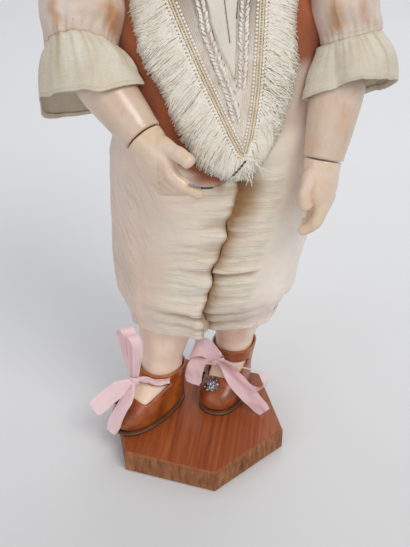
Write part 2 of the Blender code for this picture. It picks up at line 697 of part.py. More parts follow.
def make_thigh(side):
    start = hip(side)
    bend = knee(side)
    along = unit(bend - start)
    length = float(np.linalg.norm(bend - start))
    seat = KNEE_BALL + LOOSE
    rim = 12.5
    rows = [(HIP_BALL * math.sin(a), -HIP_BALL * math.cos(a))
            for a in np.linspace(math.asin(BORE / HIP_BALL), math.radians(122), 7)]
    rows += [(14.2, 15.0), (THIGH_RADIUS - 0.8, 26.0), (THIGH_RADIUS, 44.0), (THIGH_RADIUS - 0.3, 62.0),
             (15.4, length - 13.0),
             (rim, length - math.sqrt(seat ** 2 - rim ** 2))]
    rows += [(r, length - s) for r, s in arc_profile(seat, rim, BORE, 1, 3)][1:]
    turned(label("thigh", side), rows, start, along, COMPO, 14)
    rod(label("elastic_thigh", side), start - along * (HIP_BALL - 0.8), bend - along * (KNEE_BALL + LOOSE),
        CORD, ELASTIC)
    ball = [(KNEE_BALL * math.sin(a), -KNEE_BALL * math.cos(a))
            for a in np.linspace(math.asin(BORE / KNEE_BALL), math.pi - math.asin(BORE / KNEE_BALL), 6)]
    turned(label("knee_ball", side), ball, bend, (0, 0, 1), COMPO, 14)


SHOE_FLOOR = BASE_THICK + GAP + SOLE_THICK
# Shoe and foot sections: height over the sole, toe, heel, half width, as parts of the shoe sizes
SHOE_ROWS = ((0.0, 0.94, 0.91, 0.88), (3.0, 1.0, 0.99, 0.99), (7.0, 0.99, 1.0, 1.0),
             (11.0, 0.92, 0.99, 0.97), (15.0, 0.78, 0.97, 0.935), (19.0, 0.63, 0.945, 0.915),
             (24.0, 0.475, 0.92, 0.92), (30.0, 0.385, 0.91, 0.97), (36.0, 0.355, 0.905, 1.03))


def foot_way(side):
    turn = math.radians(TURN_RIGHT if side < 0 else TURN_LEFT)
    return np.array([-math.sin(turn), -math.cos(turn), 0.0])


def foot_ring(side, up, inset=0.0, count=20, lift=None):
    """A level outline of the shoe: round at the heel, broad at the ball of the foot."""
    toe = table(SHOE_ROWS, 1, up) * SHOE_TOE - inset
    heel = table(SHOE_ROWS, 2, up) * SHOE_HEEL - inset
    wide = table(SHOE_ROWS, 3, up) * SHOE_WIDE - inset
    way = foot_way(side)
    across = np.array([-way[1], way[0], 0.0])
    angles = 2 * np.pi * np.arange(count) / count
    c = np.cos(angles)
    s = np.sin(angles)
    along = (toe - heel) / 2 + (toe + heel) / 2 * np.sign(c) * np.abs(c) ** 0.92
    stretch = np.clip((toe - heel) / 26.0, 0.0, 1.0)
    span = wide * np.sign(s) * np.abs(s) ** 0.85 * (1 + 0.10 * stretch * c - 0.10 * stretch * (1 - c) / 2)
    points = np.outer(along, way) + np.outer(span, across)
    points[:, :2] += ankle(side)[:2]
    points[:, 2] = SHOE_FLOOR + up if lift is None else lift
    return points


LEG_POINTS = 18
LEG_ROWS = ((0.0, 0.0), (9.0, 1.6), (21.0, 4.6), (33.0, 5.8), (44.0, 5.2), (53.0, 3.2))


def shin_middle(side, height):
    low = SHOE_FLOOR + COLLAR_UP
    share = smooth(low, KNEE_Z - KNEE_BALL, height)
    return ankle(side)[:2] * (1 - share) + knee(side)[:2] * share


def shin_ring(side, height, radius, count=LEG_POINTS):
    way = foot_way(side)
    across = np.array([-way[1], way[0], 0.0])
    angles = 2 * np.pi * np.arange(count) / count
    points = radius * (np.outer(np.cos(angles), way) + np.outer(np.sin(angles), across))
    points[:, :2] += shin_middle(side, height)
    points[:, 2] = height
    return points


def make_lower_leg(side):
    skin = LEATHER + GAP + 0.5
    outer = [foot_ring(side, up, skin, LEG_POINTS) for up in (0.7, 3, 7, 15, 27, COLLAR_UP)]
    low = SHOE_FLOOR + COLLAR_UP
    seat = KNEE_BALL + GAP
    rim = 12.5
    top = KNEE_Z - math.sqrt(seat ** 2 - rim ** 2)
    for rise, swell in LEG_ROWS[1:]:
        height = low + (top - low) * rise / 61.0
        outer.append(shin_ring(side, height, ANKLE_RADIUS + swell * (CALF_RADIUS - ANKLE_RADIUS) / 5.8))
    outer.append(shin_ring(side, top, rim))
    inner = [shin_ring(side, KNEE_Z - seat - 26.0, BORE), shin_ring(side, KNEE_Z - seat - 12.0, BORE)]
    inner += [shin_ring(side, KNEE_Z - s, r) for r, s in arc_profile(seat, BORE, rim, 1, 3)][:-1]
    points, faces = cup(outer, inner)
    add_solid(label("lower_leg", side), points, faces, COMPO, knee(side))
    path = [knee(side) + (0, 0, KNEE_BALL - 0.8), knee(side) - (0, 0, KNEE_BALL + 0.2)]
    for drop in (12.0, 25.0):
        height = KNEE_Z - seat - drop
        path.append((*shin_middle(side, height), height))
    points, faces = sweep(path, CORD, 8, (0.2, 0.9, 0.1))
    add_solid(label("elastic_shin", side), points, faces, ELASTIC, knee(side))


def make_shoe(side):
    count = 20
    rows = (GAP, 3, 7, 11, 15, 20, 27, COLLAR_UP)
    outer = [foot_ring(side, up, 0.0, count) for up in rows]
    inner = [foot_ring(side, up, LEATHER, count) for up in (GAP, 3, 7, 15, 27, COLLAR_UP)]
    upper = add_solid(label("shoe_upper", side), *open_shell(outer, inner), HIDE, knee(side))
    way = foot_way(side)
    across = np.array([-way[1], way[0], 0.0])
    middle = ankle(side) + (0, 0, SHOE_FLOOR)
    rings = []
    for reach_out in (-SHOE_WIDE * 2, SHOE_WIDE * 2):
        corners = [(0.10, 23.5), (0.54, 26.4), (0.70, 22.0), (0.61, 15.0)]
        rings.append([middle + way * a * SHOE_TOE + across * reach_out + (0, 0, b) for a, b in corners])
    cut(upper, add_solid(label("side window", side), *closed_loft(rings), None))

    bottom = foot_ring(side, 5.0, -SOLE_LIP, count, BASE_THICK + GAP)
    edge = foot_ring(side, 5.0, -SOLE_LIP, count, SHOE_FLOOR)
    add_solid(label("shoe_sole", side), *closed_loft([bottom, edge]), SOLES, knee(side))

    toe = SHOE_TOE * table(SHOE_ROWS, 1, BUTTON_UP)
    slope = unit(way * 4.0 + np.array([0, 0, 1]) * SHOE_TOE * 0.14 + across * 0.16 * BUTTON_ASIDE)
    place = middle + way * toe + across * BUTTON_ASIDE + (0, 0, BUTTON_UP) + slope * 0.55
    rows = [(0.0, 2.6), (1.6, 2.5), (2.0, 1.7), (BUTTON_RADIUS - 0.9, 1.5), (BUTTON_RADIUS, 0.8),
            (BUTTON_RADIUS - 0.4, 0.0), (0.0, 0.0)]
    turned(label("shoe_button", side), rows, place, slope, BEAD, 12, across)


# Ribbon loops and tails, measured from the knot in front of each ankle strap
LOOPS_RIGHT = (((-5, 0, 40), 5.0, 1.0), ((5, -6, 40), 4.0, 0.9))
LOOPS_LEFT = (((-16, -5, 13), 5.0, 1.2), ((29, -15, -9), 7.0, 1.3))
TAILS_RIGHT = (((-4, -9, -7), (-10, -17, -15), (-15, -22, -26)),
               ((-9, -5, -3), (-17, -9, -8), (-26, -14, -14)))
TAILS_LEFT = (((-10, -8, 6), (-15.5, -11, 2), (-18, -13, -10)),
              ((8, -8, -7), (20, -16, -18), (30, -21, -28)))


def strip(path, wides, thick, flat):
    """A flat band along a path; its width stays square to the way the path bends."""
    path = [np.asarray(p, float) for p in path]
    rings = []
    for k, (place, wide) in enumerate(zip(path, wides)):
        along = unit(path[min(k + 1, len(path) - 1)] - path[max(k - 1, 0)])
        over = unit(np.asarray(flat, float) - along * np.dot(flat, along))
        up = np.cross(along, over)
        rings.append([place + over * a * wide / 2 + up * b * thick / 2
                      for a, b in ((-1, -1), (1, -1), (1, 1), (-1, 1))])
    return closed_loft(rings)


def tail_flat(side, n):
    way = foot_way(side)
    return np.array([-way[1], way[0], 0.3 * (1 - 2 * n)])


def knot_place(side):
    way = foot_way(side)
    across = np.array([-way[1], way[0], 0.0])
    up = COLLAR_UP - 2.5
    front = SHOE_TOE * table(SHOE_ROWS, 1, up) + 6.0
    return ankle(side) + way * front - across * 2.5 + (0, 0, SHOE_FLOOR + up)


def make_ribbon(side):
    knot = knot_place(side)
    way = foot_way(side)
    rows = [(0.0, -3.0), (2.4, -2.4), (3.3, 0.0), (2.4, 2.4), (0.0, 3.0)]
    ribbon = turned(label("shoe_ribbon", side), rows, knot, way, RIBBON, 12, (0, 0, 1), 1.25)
    loops = LOOPS_RIGHT if side < 0 else LOOPS_LEFT
    for n, (tip, bulge, wide) in enumerate(loops):
        tip = np.asarray(tip, float)
        across, facing, along = axes_along(tip, way)
        size = float(np.linalg.norm(tip))
        path = []
        wides = []
        for k in range(9):
            t = k / 8
            out = math.sin(math.pi * t) ** 0.8
            wides.append(RIBBON_WIDE * wide * (0.4 + 0.6 * min(1.0, 2.0 * out)))
            aside = bulge * math.sin(2 * math.pi * t) * (0.35 + out * 0.65) + 0.9 * math.cos(math.pi * t)
            path.append(knot + along * size * out + across * aside)
        tool = add_solid(label("loop %d" % n, side), *strip(path, wides, 0.8, facing), None)
        cut(ribbon, tool, "UNION")
    tails = TAILS_RIGHT if side < 0 else TAILS_LEFT
    for n, tail in enumerate(tails):
        path = [knot] + [knot + np.asarray(p, float) for p in tail]
        wides = [RIBBON_WIDE * w for w in (0.4, 0.8, 0.9, 0.9)]
        tool = add_solid(label("tail %d" % n, side), *strip(path, wides, 0.8, tail_flat(side, n)), None)
        cut(ribbon, tool, "UNION")


BODICE_ROWS = ((0, 1.0, 1.0), (12, 0.92, 0.99), (27, 0.80, 0.97), (42, 0.74, 0.945), (62, 0.74, 0.92),
               (85, 0.742, 0.87), (105, 0.742, 0.79), (120, 0.742, 0.71), (132, 0.72, 0.63),
               (140, 0.61, 0.55), (146, 0.44, 0.50), (149, 0.365, 0.48))
BODICE_POWER = 2.4


def bodice_size(height):
    rise = height - ROMPER_TOP
    share = smooth(0.0, 62.0, rise)
    wide = table(BODICE_ROWS, 1, rise)
    wide = wide * ((1 - share) * ROMPER_WIDE + share * BODICE_WIDE / 0.742)
    deep = table(BODICE_ROWS, 2, rise) * ROMPER_DEEP
    middle = ROMPER_X + (CENTRE_X - ROMPER_X) * share
    back = CENTRE_Y + (NECK_Y - CENTRE_Y) * smooth(128, 146, rise)
    return middle, back, wide, deep


def bodice_ring(height, inset=0.0, count=24):
    middle, back, wide, deep = bodice_size(height)
    return oval((middle, back, height), wide - inset, deep - inset, count, BODICE_POWER)


def bodice_front(x, height):
    """Where the bodice lies, front to back, at a place seen from the front."""
    middle, back, wide, deep = bodice_size(height)
    share = min(abs(x - middle) / wide, 0.985)
    return back - deep * (1 - share ** BODICE_POWER) ** (1 / BODICE_POWER)


def make_bodice():
    heights = [ROMPER_TOP + row[0] for row in BODICE_ROWS]
    outer = [bodice_ring(h) for h in heights]
    inner = [bodice_ring(h, CLOTH) for h in heights[:1] + heights[3:4] + heights[6:9:2] + heights[9:12:2]]
    bodice = add_solid("romper_bodice", *open_shell(outer, inner), SATIN)
    for side in (-1, 1):
        start = shoulder(side) - (side * 20.0, 0, 0)
        cut(bodice, rod(label("armhole", side), start, start + (side * 40.0, 0, 0), ARMHOLE, None, 16))


# Collar lines on the front, from the body middle line and the romper top: left edge to tip to right edge
FRINGE_OUT = ((-39, 112), (-39, 86), (-33.5, 72), (-26, 46), (-15, 20), (-3, 4), (8, -2), (19, -1), (27, 8),
              (36, 24), (39, 40), (39.5, 64), (39.5, 88), (38, 112))
FRINGE_IN = ((-33, 114), (-21.5, 88), (-15.5, 74), (-4, 48), (5.5, 28), (11, 16.5), (15, 10), (19.5, 9.5),
             (21.5, 16), (23.5, 28), (25, 42), (26, 64), (26.5, 88), (28, 113))
BRAID_IN = ((-14, 117), (-2.5, 89), (1.0, 75), (5.5, 63), (8.5, 57), (10.5, 53), (11.6, 50), (12.2, 50),
            (12.3, 53), (12.4, 57), (12.5, 63), (12.6, 75), (13, 89), (15, 115))


def band(name, first, second, thick, look, lift=0.9, columns=4):
    """A strip of trim lying on the bodice between two lines."""
    under = []
    over = []
    for (xa, za), (xb, zb) in zip(first, second):
        for k in range(columns + 1):
            t = k / columns
            x = CENTRE_X + xa + (xb - xa) * t
            z = ROMPER_TOP + za + (zb - za) * t
            y = bodice_front(x, z) if z > ROMPER_TOP else romper_front_limit()
            under.append((x, y - lift, z))
            over.append((x, y - lift - thick, z))
    rows = len(first)
    across = columns + 1
    points = under + over
    half = rows * across
    faces = []
    for r in range(rows - 1):
        for k in range(columns):
            a = r * across + k
            faces.append([a, a + 1, a + across + 1, a + across])
            faces.append([half + a, half + a + across, half + a + across + 1, half + a + 1])
        for k in (0, columns):
            a = r * across + k
            faces.append([a, a + across, half + a + across, half + a])
    for r in (0, rows - 1):
        for k in range(columns):
            a = r * across + k
            faces.append([a, half + a, half + a + 1, a + 1])
    return add_solid(name, points, faces, look)


def romper_front_limit():
    return CENTRE_Y - ROMPER_DEEP - 1.6


def offset_line(line, amount):
    """The same line moved sideways, to leave a clearance between two strips of trim."""
    line = np.asarray(line, float)
    way = np.gradient(line, axis=0)
    way /= np.linalg.norm(way, axis=1)[:, None]
    return [tuple(p) for p in line + np.column_stack([-way[:, 1], way[:, 0]]) * amount]


def make_collar():
    band("fringe_collar", FRINGE_OUT, FRINGE_IN, 2.2, FRINGE)
    start = offset_line(FRINGE_IN, 0.4)
    band("braid_collar", start, BRAID_IN, 1.8, BRAID, 1.1, 4)
    inner = offset_line(BRAID_IN, 0.4)
    left = inner[:7]
    right = inner[7:][::-1]
    band("bodice_insert", left, right, 0.8, PANEL, 1.1, 5)


def romper_ring(side, t, folds, inset, count=24):
    """One level of a baggy leg, from its top (0) to its gathered hem (1)."""
    height = ROMPER_TOP - GAP - t * (ROMPER_TOP - GAP - HEM_Z)
    seam = ROMPER_X + 13.0 - 19.0 * smooth(0.0, 0.95, t)
    edge = ROMPER_X + side * ROMPER_WIDE * (1.0 + 0.02 * math.sin(math.pi * t))
    tuck = smooth(0.74, 1.0, t)
    edge = edge - side * (7.0 if side < 0 else 10.0) * tuck ** 1.4
    edge = edge - side * (0.0 if side < 0 else 8.0) * smooth(0.25, 0.8, t)
    inner_edge = max(seam, CENTRE_X) if side < 0 else min(seam, CENTRE_X)
    middle = (edge + inner_edge) / 2
    half = abs(edge - inner_edge) / 2
    leg_y = (knee(side)[1] * 0.65 + ankle(side)[1] * 0.35) - CENTRE_Y
    middle_y = CENTRE_Y + leg_y * tuck
    deep = (ROMPER_DEEP - 0.2) * (1.0 - 0.22 * smooth(0.8, 1.0, t))
    angles = 2 * np.pi * np.arange(count) / count
    c = np.cos(angles)
    s = np.sin(angles)
    power = 2 / 2.35
    fold = 0.55 * np.cos(9 * angles + 1.3 * side) * smooth(0.05, 0.5, t)
    fold = fold + 0.9 * np.cos(count / 2 * angles) * smooth(0.7, 1.0, t)
    toward = np.clip(-c * side, 0, 1) * np.clip(-s, 0, 1)
    recess = 8.0 * toward * (1 - smooth(0.05, 0.5, t)) if side > 0 else 0.0
    pucker = 1.6 * toward * math.sin(t * 26.0 + side) * (1 - smooth(0.85, 1.0, t))
    away = np.where(-c * side > 0.75, 0.0, 1.0)
    reach_x = half - 1.0 - inset + folds * fold * away
    reach_y = deep - 1.2 - inset + folds * (fold + pucker) - recess
    x = middle + reach_x * np.sign(c) * np.abs(c) ** power
    y = middle_y + reach_y * np.sign(s) * np.abs(s) ** power
    behind = smooth(CENTRE_Y - THIGH_RADIUS - 13.0, CENTRE_Y - THIGH_RADIUS - 5.0, y)
    wire = np.maximum(smooth(STAND_Y - 11.0, STAND_Y - 5.0, y), 1.0 - smooth(0.3, 0.4, t)) * behind
    limit = seam * (1 - behind) + CENTRE_X * behind
    limit = limit + side * (LOOSE + (BACK_GAP - LOOSE) * wire + inset * 0.45)
    x = np.maximum(x, limit) if side > 0 else np.minimum(x, limit)
    return np.column_stack([x, y, np.full(count, height)])


def make_romper_leg(side):
    """A baggy leg with gathers at the hem, puckers along the centre seam and hanging folds."""
    outer = [romper_ring(side, t, 1.0, 0.0) for t in np.linspace(0, 1, 13)]
    inner = [romper_ring(side, t, 0.0, CLOTH + 1.6) for t in (0, 0.3, 0.6, 0.82, 1.0)]
    add_solid(label("romper_leg", side), *open_shell(outer, inner), SATIN, hip(side))


def sleeve_rings(side, folds, inset, count=22):
    """Levels of a puffed sleeve: round about the shoulder axis, then a baggy fall to the gather."""
    start = SLEEVE_START
    bend = elbow(side)
    angles = 2 * np.pi * np.arange(count) / count
    c = np.cos(angles)
    s = np.sin(angles)
    pivot_z = SHOULDER_Z - ARMHOLE - 2.2
    rings = []
    for turn in (0, 18, 38, 60):
        share = turn / 90
        swell = math.sin(math.radians(turn * 1.6))
        low = 1.6 - 0.9 * share + inset
        high = 2 * ARMHOLE + 2.4 + 4.5 * swell - inset
        deep = ARMHOLE + 0.6 + 4.0 * share + 1.5 * swell - inset
        run = (low + high) / 2 + (high - low) / 2 * c
        way = math.radians(turn)
        ridge = folds * 0.5 * np.cos(9 * angles) * smooth(0, 0.3, share)
        x = CENTRE_X + side * (start + run * math.sin(way))
        y = CENTRE_Y + (deep + ridge) * s - 2.5 * share
        z = pivot_z + run * math.cos(way)
        rings.append(np.column_stack([x, y, z]))
    outside = abs(bend[0] - CENTRE_X) + 19.0
    for t in (0.12, 0.34, 0.56, 0.78, 1.0):
        height = pivot_z - 1.0 + (SLEEVE_END - pivot_z) * t
        draw = smooth(0.55, 1.0, t)
        near = start + 0.9 + 3.0 * smooth(0.4, 1.0, t) + 2.0 * draw + inset
        far = start + 44.0 + (outside - start - 44.0) * t - 3.5 * draw - inset
        middle_y = CENTRE_Y - 2.5 + (bend[1] - CENTRE_Y + 2.5) * t
        deep = 23.5 + 1.5 * math.sin(math.pi * t) - 4.0 * smooth(0.7, 1.0, t) - inset
        ruck = folds * (0.7 * np.cos(8 * angles + t * 2) + 0.4 * np.cos(13 * angles) * smooth(0.5, 1.0, t))
        x = CENTRE_X + side * ((near + far) / 2 + ((far - near) / 2 + (ruck - 0.7 * folds) * (c > -0.6)) * c)
        y = middle_y + (deep + ruck) * s
        tilt = 9.0 * (1 - t) * (x - CENTRE_X - side * start) * side / 45.0
        rings.append(np.column_stack([x, y, height + tilt - 2.0 * (1 - t)]))
    return rings


def make_sleeve(side):
    outer = sleeve_rings(side, 1.0, 0.0)
    inner = sleeve_rings(side, 0.0, CLOTH)
    add_solid(label("sleeve", side), *open_shell(outer, inner[:1] + inner[2:-1:2] + inner[-1:]), SATIN,
              shoulder(side))
    return outer[-1]


def clear_of_bodice(points, room):
    """Move points straight out from the body where they lie too near the bodice."""
    for p in points:
        middle, back, wide, deep = bodice_size(p[2])
        wide = wide + room
        deep = deep + room
        share = (abs(p[0] - middle) / wide) ** BODICE_POWER + (abs(p[1] - back) / deep) ** BODICE_POWER
        if share < 1.0:
            grow = share ** (-1 / BODICE_POWER)
            p[0] = middle + (p[0] - middle) * grow
            p[1] = back + (p[1] - back) * grow


def clear_of_forearm(points, side, room):
    """Move points off the forearm, square to its axis."""
    way = reach(side)
    for p in points:
        run = np.dot(p - elbow(side), way)
        foot = elbow(side) + way * run
        off = p - foot
        need = (FOREARM_RADIUS if run > 0 else ELBOW_BALL + 1.0) + room
        far = np.linalg.norm(off)
        if far < need and run > -ELBOW_BALL:
            p[:2] += (off / far * (need - far))[:2] * 1.3


def make_cuff(side, last):
    """A gauze flounce hanging from the sleeve's gather over the elbow."""
    count = len(last)
    middle = last.mean(0)
    way = reach(side)[:2]
    lean = np.array([*way, 0.0]) * (24.0 if side < 0 else 10.0)
    half = np.ptp(last[:, 0]) / 2
    levels = 4
    outer = []
    inner = []
    for k in range(levels):
        t = k / (levels - 1)
        angles = 2 * np.pi * np.arange(count) / count
        spread = 1.0 + 0.22 * t
        flute = 1.0 + 0.05 * t * np.cos(7 * angles) + 0.02 * np.cos(count / 2 * angles) * (1 - t)
        ring = middle + (last - middle) * (spread * flute)[:, None]
        inside = smooth(-1.0, 0.9, (middle[0] - last[:, 0]) * side / half)
        ring += np.outer(inside, lean) * t * t
        behind = smooth(-10.0, 12.0, (ring[:, 1] - middle[1]))
        ring[:, 2] = last[:, 2] - GAP - CUFF_DROP * (0.85 + 0.35 * behind) * t
        clear_of_forearm(ring, side, 4.0)
        clear_of_bodice(ring, 2.0)
        outer.append(ring)
    inner = shrink(outer, CLOTH * 0.8)
    for k in range(levels):
        inner[k][:, 2] = outer[k][:, 2]
    add_solid(label("cuff", side), *open_shell(outer, inner), GAUZE, shoulder(side))


def make_chain():
    """A thin strand sagging from the collar's point to the right forefinger."""
    tip_x = CENTRE_X + 18.5
    tip_z = ROMPER_TOP + 8.0
    start = np.array([tip_x, bodice_front(tip_x, tip_z) - LOOSE - 4.2, tip_z])
    finger = finger_path(-1, 3)
    way, thumb, palm = hand_axes(-1)
    stop = finger[2] + thumb * 5.0 - palm * 0.4
    path = []
    for k in range(13):
        t = k / 12
        place = start * (1 - t) + stop * t
        path.append(place - np.array([0, 3.5, 6.0]) * 4 * t * (1 - t))
    points, faces = sweep(path, 0.8, 6, (0, 1, 0.2))
    add_solid("hand_chain", points, faces, BEAD)


def build():
    clear_scene()
    make_base()
    make_stand()
    make_torso()
    make_elastic()
    make_head()
    make_wig()
    for side in (-1, 1):
        make_arm(side)
        make_hand(side)
        make_thigh(side)
        make_lower_leg(side)
        make_shoe(side)
        make_ribbon(side)
        make_romper_leg(side)
        make_cuff(side, make_sleeve(side))
    make_bodice()
    make_collar()
    make_chain()


build()
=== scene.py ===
"""Looks of the bisque doll: cloth, skin, leather, wood, hair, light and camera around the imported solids."""
import json
import math
from contextlib import contextmanager

import bmesh
import bpy
import numpy as np
from mathutils import Matrix


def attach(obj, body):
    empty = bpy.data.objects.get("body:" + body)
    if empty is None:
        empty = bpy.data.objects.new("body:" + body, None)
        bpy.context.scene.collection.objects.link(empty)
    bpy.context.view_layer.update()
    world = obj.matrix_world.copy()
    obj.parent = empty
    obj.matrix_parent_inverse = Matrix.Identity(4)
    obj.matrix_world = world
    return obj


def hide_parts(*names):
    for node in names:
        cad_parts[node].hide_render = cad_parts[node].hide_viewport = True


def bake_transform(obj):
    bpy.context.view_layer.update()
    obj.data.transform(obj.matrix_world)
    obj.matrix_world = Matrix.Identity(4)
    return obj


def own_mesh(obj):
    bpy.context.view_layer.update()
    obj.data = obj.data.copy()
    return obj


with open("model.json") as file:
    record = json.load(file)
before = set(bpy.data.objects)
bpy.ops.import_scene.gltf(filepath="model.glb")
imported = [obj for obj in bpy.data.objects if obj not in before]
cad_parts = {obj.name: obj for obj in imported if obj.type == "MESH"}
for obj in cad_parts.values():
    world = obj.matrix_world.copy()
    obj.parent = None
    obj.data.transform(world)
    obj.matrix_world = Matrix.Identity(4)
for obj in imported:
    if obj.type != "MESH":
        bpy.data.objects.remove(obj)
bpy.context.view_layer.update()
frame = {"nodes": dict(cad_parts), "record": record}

# Sizes in millimetres, the same as the solids have
MM = 0.001
GAP = 0.3
LOOSE = 0.6
BASE_THICK = 16.0
CENTRE_X = 9.0
CENTRE_Y = 16.0
HIP_Z = 214.0
SHOULDER_Z = 322.0
NECK_Z = 353.0
NECK_Y = 18.0
NECK_BALL = 15.0
ELBOW_BALL = 11.0
KNEE_BALL = 14.0
FOREARM_LENGTH = 60.0
ELBOW = {-1: np.array([-61.5, -1.5, 261.5]), 1: np.array([78.5, -2.0, 263.0])}
REACH = {-1: np.array([37.0, -29.0, -39.5]), 1: np.array([-9.5, -18.0, -54.0])}
FOREARM_RADIUS = 14.2
WRIST_RADIUS = 10.8
KNEE_Z = 124.0
KNEE = {-1: np.array([-16.0, 15.5]), 1: np.array([31.0, 16.5])}
ANKLE = {-1: np.array([-22.0, 9.0]), 1: np.array([26.5, 35.0])}
THIGH_RADIUS = 16.6
CALF_RADIUS = 18.2
ANKLE_RADIUS = 12.4
TURN = {-1: 43.0, 1: 22.0}
SHOE_TOE = 43.0
SHOE_HEEL = 16.5
SHOE_WIDE = 15.0
SOLE_THICK = 2.2
SOLE_LIP = 0.4
LEATHER = 1.3
COLLAR_UP = 31.5
BUTTON_UP = 15.0
BUTTON_ASIDE = -3.5
RIBBON_WIDE = 9.0
SHOE_FLOOR = BASE_THICK + GAP + SOLE_THICK
HEAD_BASE = 368.0
HEAD_TALL = 86.0
EYE_OUT = 12.6
EYE_UP = 0.40
EYE_RADIUS = 6.4
CROWN_CUT = 0.86
ROMPER_X = 11.0
ROMPER_WIDE = 59.0
ROMPER_DEEP = 37.5
ROMPER_TOP = 200.0
HEM_Z = 93.0
HEM_SAG = 5.5
BACK_GAP = 3.4
BODICE_WIDE = 43.8
ARMHOLE = 19.6
SLEEVE_START = BODICE_WIDE + GAP
STAND_X = 4.0
STAND_Y = 46.5
STAND_KINK = 56.0
POST_RADIUS = 1.58
EYELET_X = 3.0
EYELET_Y = 38.0
EYELET_RADIUS = 5.2
SPLIT_Z = 136.0
JOIN_Z = 206.0
SIDES = {-1: "R", 1: "L"}
OUTWARD = (0, -1, 0)  # the way the doll's front faces


def unit(vector):
    vector = np.asarray(vector, float)
    return vector / np.linalg.norm(vector)


def smooth(low, high, value):
    t = np.clip((np.asarray(value, float) - low) / (high - low), 0.0, 1.0)
    return t * t * (3.0 - 2.0 * t)


def bell(value, middle, width, power=2):
    """1 at the middle, falling to 1/e at width on both sides."""
    return np.exp(-((value - middle) / width) ** power)


def signed_power(value, power):
    return np.sign(value) * np.abs(value) ** power


def turns(count):
    """Evenly spread angles of one whole turn."""
    return 2 * np.pi * np.arange(count) / count


def run_along(line):
    """The distance run at each point of a line."""
    return np.concatenate([[0], np.cumsum(np.linalg.norm(np.diff(line, axis=0), axis=1))])


def headings(line):
    """The direction of a line at each of its points."""
    way = np.gradient(line, axis=0)
    return way / np.linalg.norm(way, axis=1)[:, None]


def axes_along(direction, hint=(0.0, -1.0, 0.0)):
    along = unit(direction)
    hint = np.asarray(hint, float)
    side = unit(hint - along * hint.dot(along))
    return np.cross(side, along), side, along


def lattice(cell):
    a = cell.astype(np.int64)
    h = (a[..., 0] * 73856093) ^ (a[..., 1] * 19349663) ^ (a[..., 2] * 83492791)
    h = ((h ^ (h >> 13)) * 1274126177) & 0xFFFFFFFF
    return ((h ^ (h >> 15)) & 0xFFFF) / 32767.5 - 1.0


def noise(*parts, seed=0):
    """Smooth noise between -1 and 1 at points given by up to three coordinates."""
    parts = list(np.broadcast_arrays(*parts))
    while len(parts) < 3:
        parts.append(np.zeros_like(parts[0], dtype=float))
    points = np.stack([np.asarray(p, float) for p in parts], -1) + seed * 17.37 + 0.41
    cell = np.floor(points)
    part = points - cell
    part = part * part * (3.0 - 2.0 * part)
    total = 0.0
    for corner in np.ndindex(2, 2, 2):
        weight = np.where(corner, part, 1 - part)
        total = total + weight[..., 0] * weight[..., 1] * weight[..., 2] * lattice(cell + corner)
    return total


def curve_through(points, count):
    """Evenly spread places on a smooth curve through the given points."""
    points = np.asarray(points, float)
    padded = np.vstack([2 * points[0] - points[1], points, 2 * points[-1] - points[-2]])
    rows = []
    for k in range(len(points) - 1):
        a, b, c, d = padded[k:k + 4]
        t = np.linspace(0, 1, 24, endpoint=False)[:, None]
        rows.append(0.5 * (2 * b + (c - a) * t + (2 * a - 5 * b + 4 * c - d) * t ** 2
                           + (3 * b - a - 3 * c + d) * t ** 3))
    line = np.vstack(rows + [points[-1:]])
    run = run_along(line)
    spots = np.linspace(0, run[-1], count)
    return np.column_stack([np.interp(spots, run, line[:, i]) for i in range(line.shape[1])])


# Meshes

def make_mesh(name, points, faces, look, uv=None):
    mesh = bpy.data.meshes.new(name)
    mesh.from_pydata((np.asarray(points, float) * MM).tolist(), [], [list(f) for f in faces])
    mesh.polygons.foreach_set("use_smooth", np.ones(len(mesh.polygons), bool))
    if uv is not None:
        layer = mesh.uv_layers.new(name="cloth")
        layer.data.foreach_set("uv", np.asarray(uv, np.float32).ravel())
    mesh.update()
    piece = bpy.data.objects.new(name, mesh)
    bpy.context.scene.collection.objects.link(piece)
    if look:
        mesh.materials.append(look)
    return piece


def grid_faces(rows, count, closed):
    k, i = np.meshgrid(np.arange(rows - 1), np.arange(count if closed else count - 1), indexing="ij")
    j = (i + 1) % count
    quads = np.stack([k * count + i, k * count + j, (k + 1) * count + j, (k + 1) * count + i], -1)
    return quads.reshape(-1, 4).tolist()


def loop_faces(rows, count):
    """Faces of a grid that closes on itself both ways."""
    last = (rows - 1) * count
    seam = [[last + i, last + (i + 1) % count, (i + 1) % count, i] for i in range(count)]
    return grid_faces(rows, count, True) + seam


def grid_uv(grid, closed):
    """Texture places in units of 100 mm, by the distance along and across the cloth."""
    ring = np.concatenate([grid, grid[:, :1]], 1) if closed else grid
    across = np.linalg.norm(np.diff(ring, axis=1), axis=2).mean(0)
    down = np.linalg.norm(np.diff(grid, axis=0), axis=2).mean(1)
    u = np.concatenate([[0], np.cumsum(across)]) / 100
    v = np.concatenate([[0], np.cumsum(down)]) / 100
    k, i = np.meshgrid(np.arange(len(v) - 1), np.arange(len(u) - 1), indexing="ij")
    corners = [(k, i), (k, i + 1), (k + 1, i + 1), (k + 1, i)]
    return np.stack([np.stack([u[b], v[a]], -1) for a, b in corners], 2).reshape(-1, 2)


def grid_part(grid, closed=False):
    return grid.reshape(-1, 3), grid_faces(*grid.shape[:2], closed)


def capped_part(rings):
    """Points and faces of a tube of rings with flat ends."""
    points, faces = grid_part(rings, True)
    rows, count = rings.shape[:2]
    return points, faces + [list(range(count))[::-1], [(rows - 1) * count + i for i in range(count)]]


def surface(name, grid, look, closed=False):
    points, faces = grid_part(np.asarray(grid, float), closed)
    return make_mesh(name, points, faces, look, grid_uv(grid, closed))


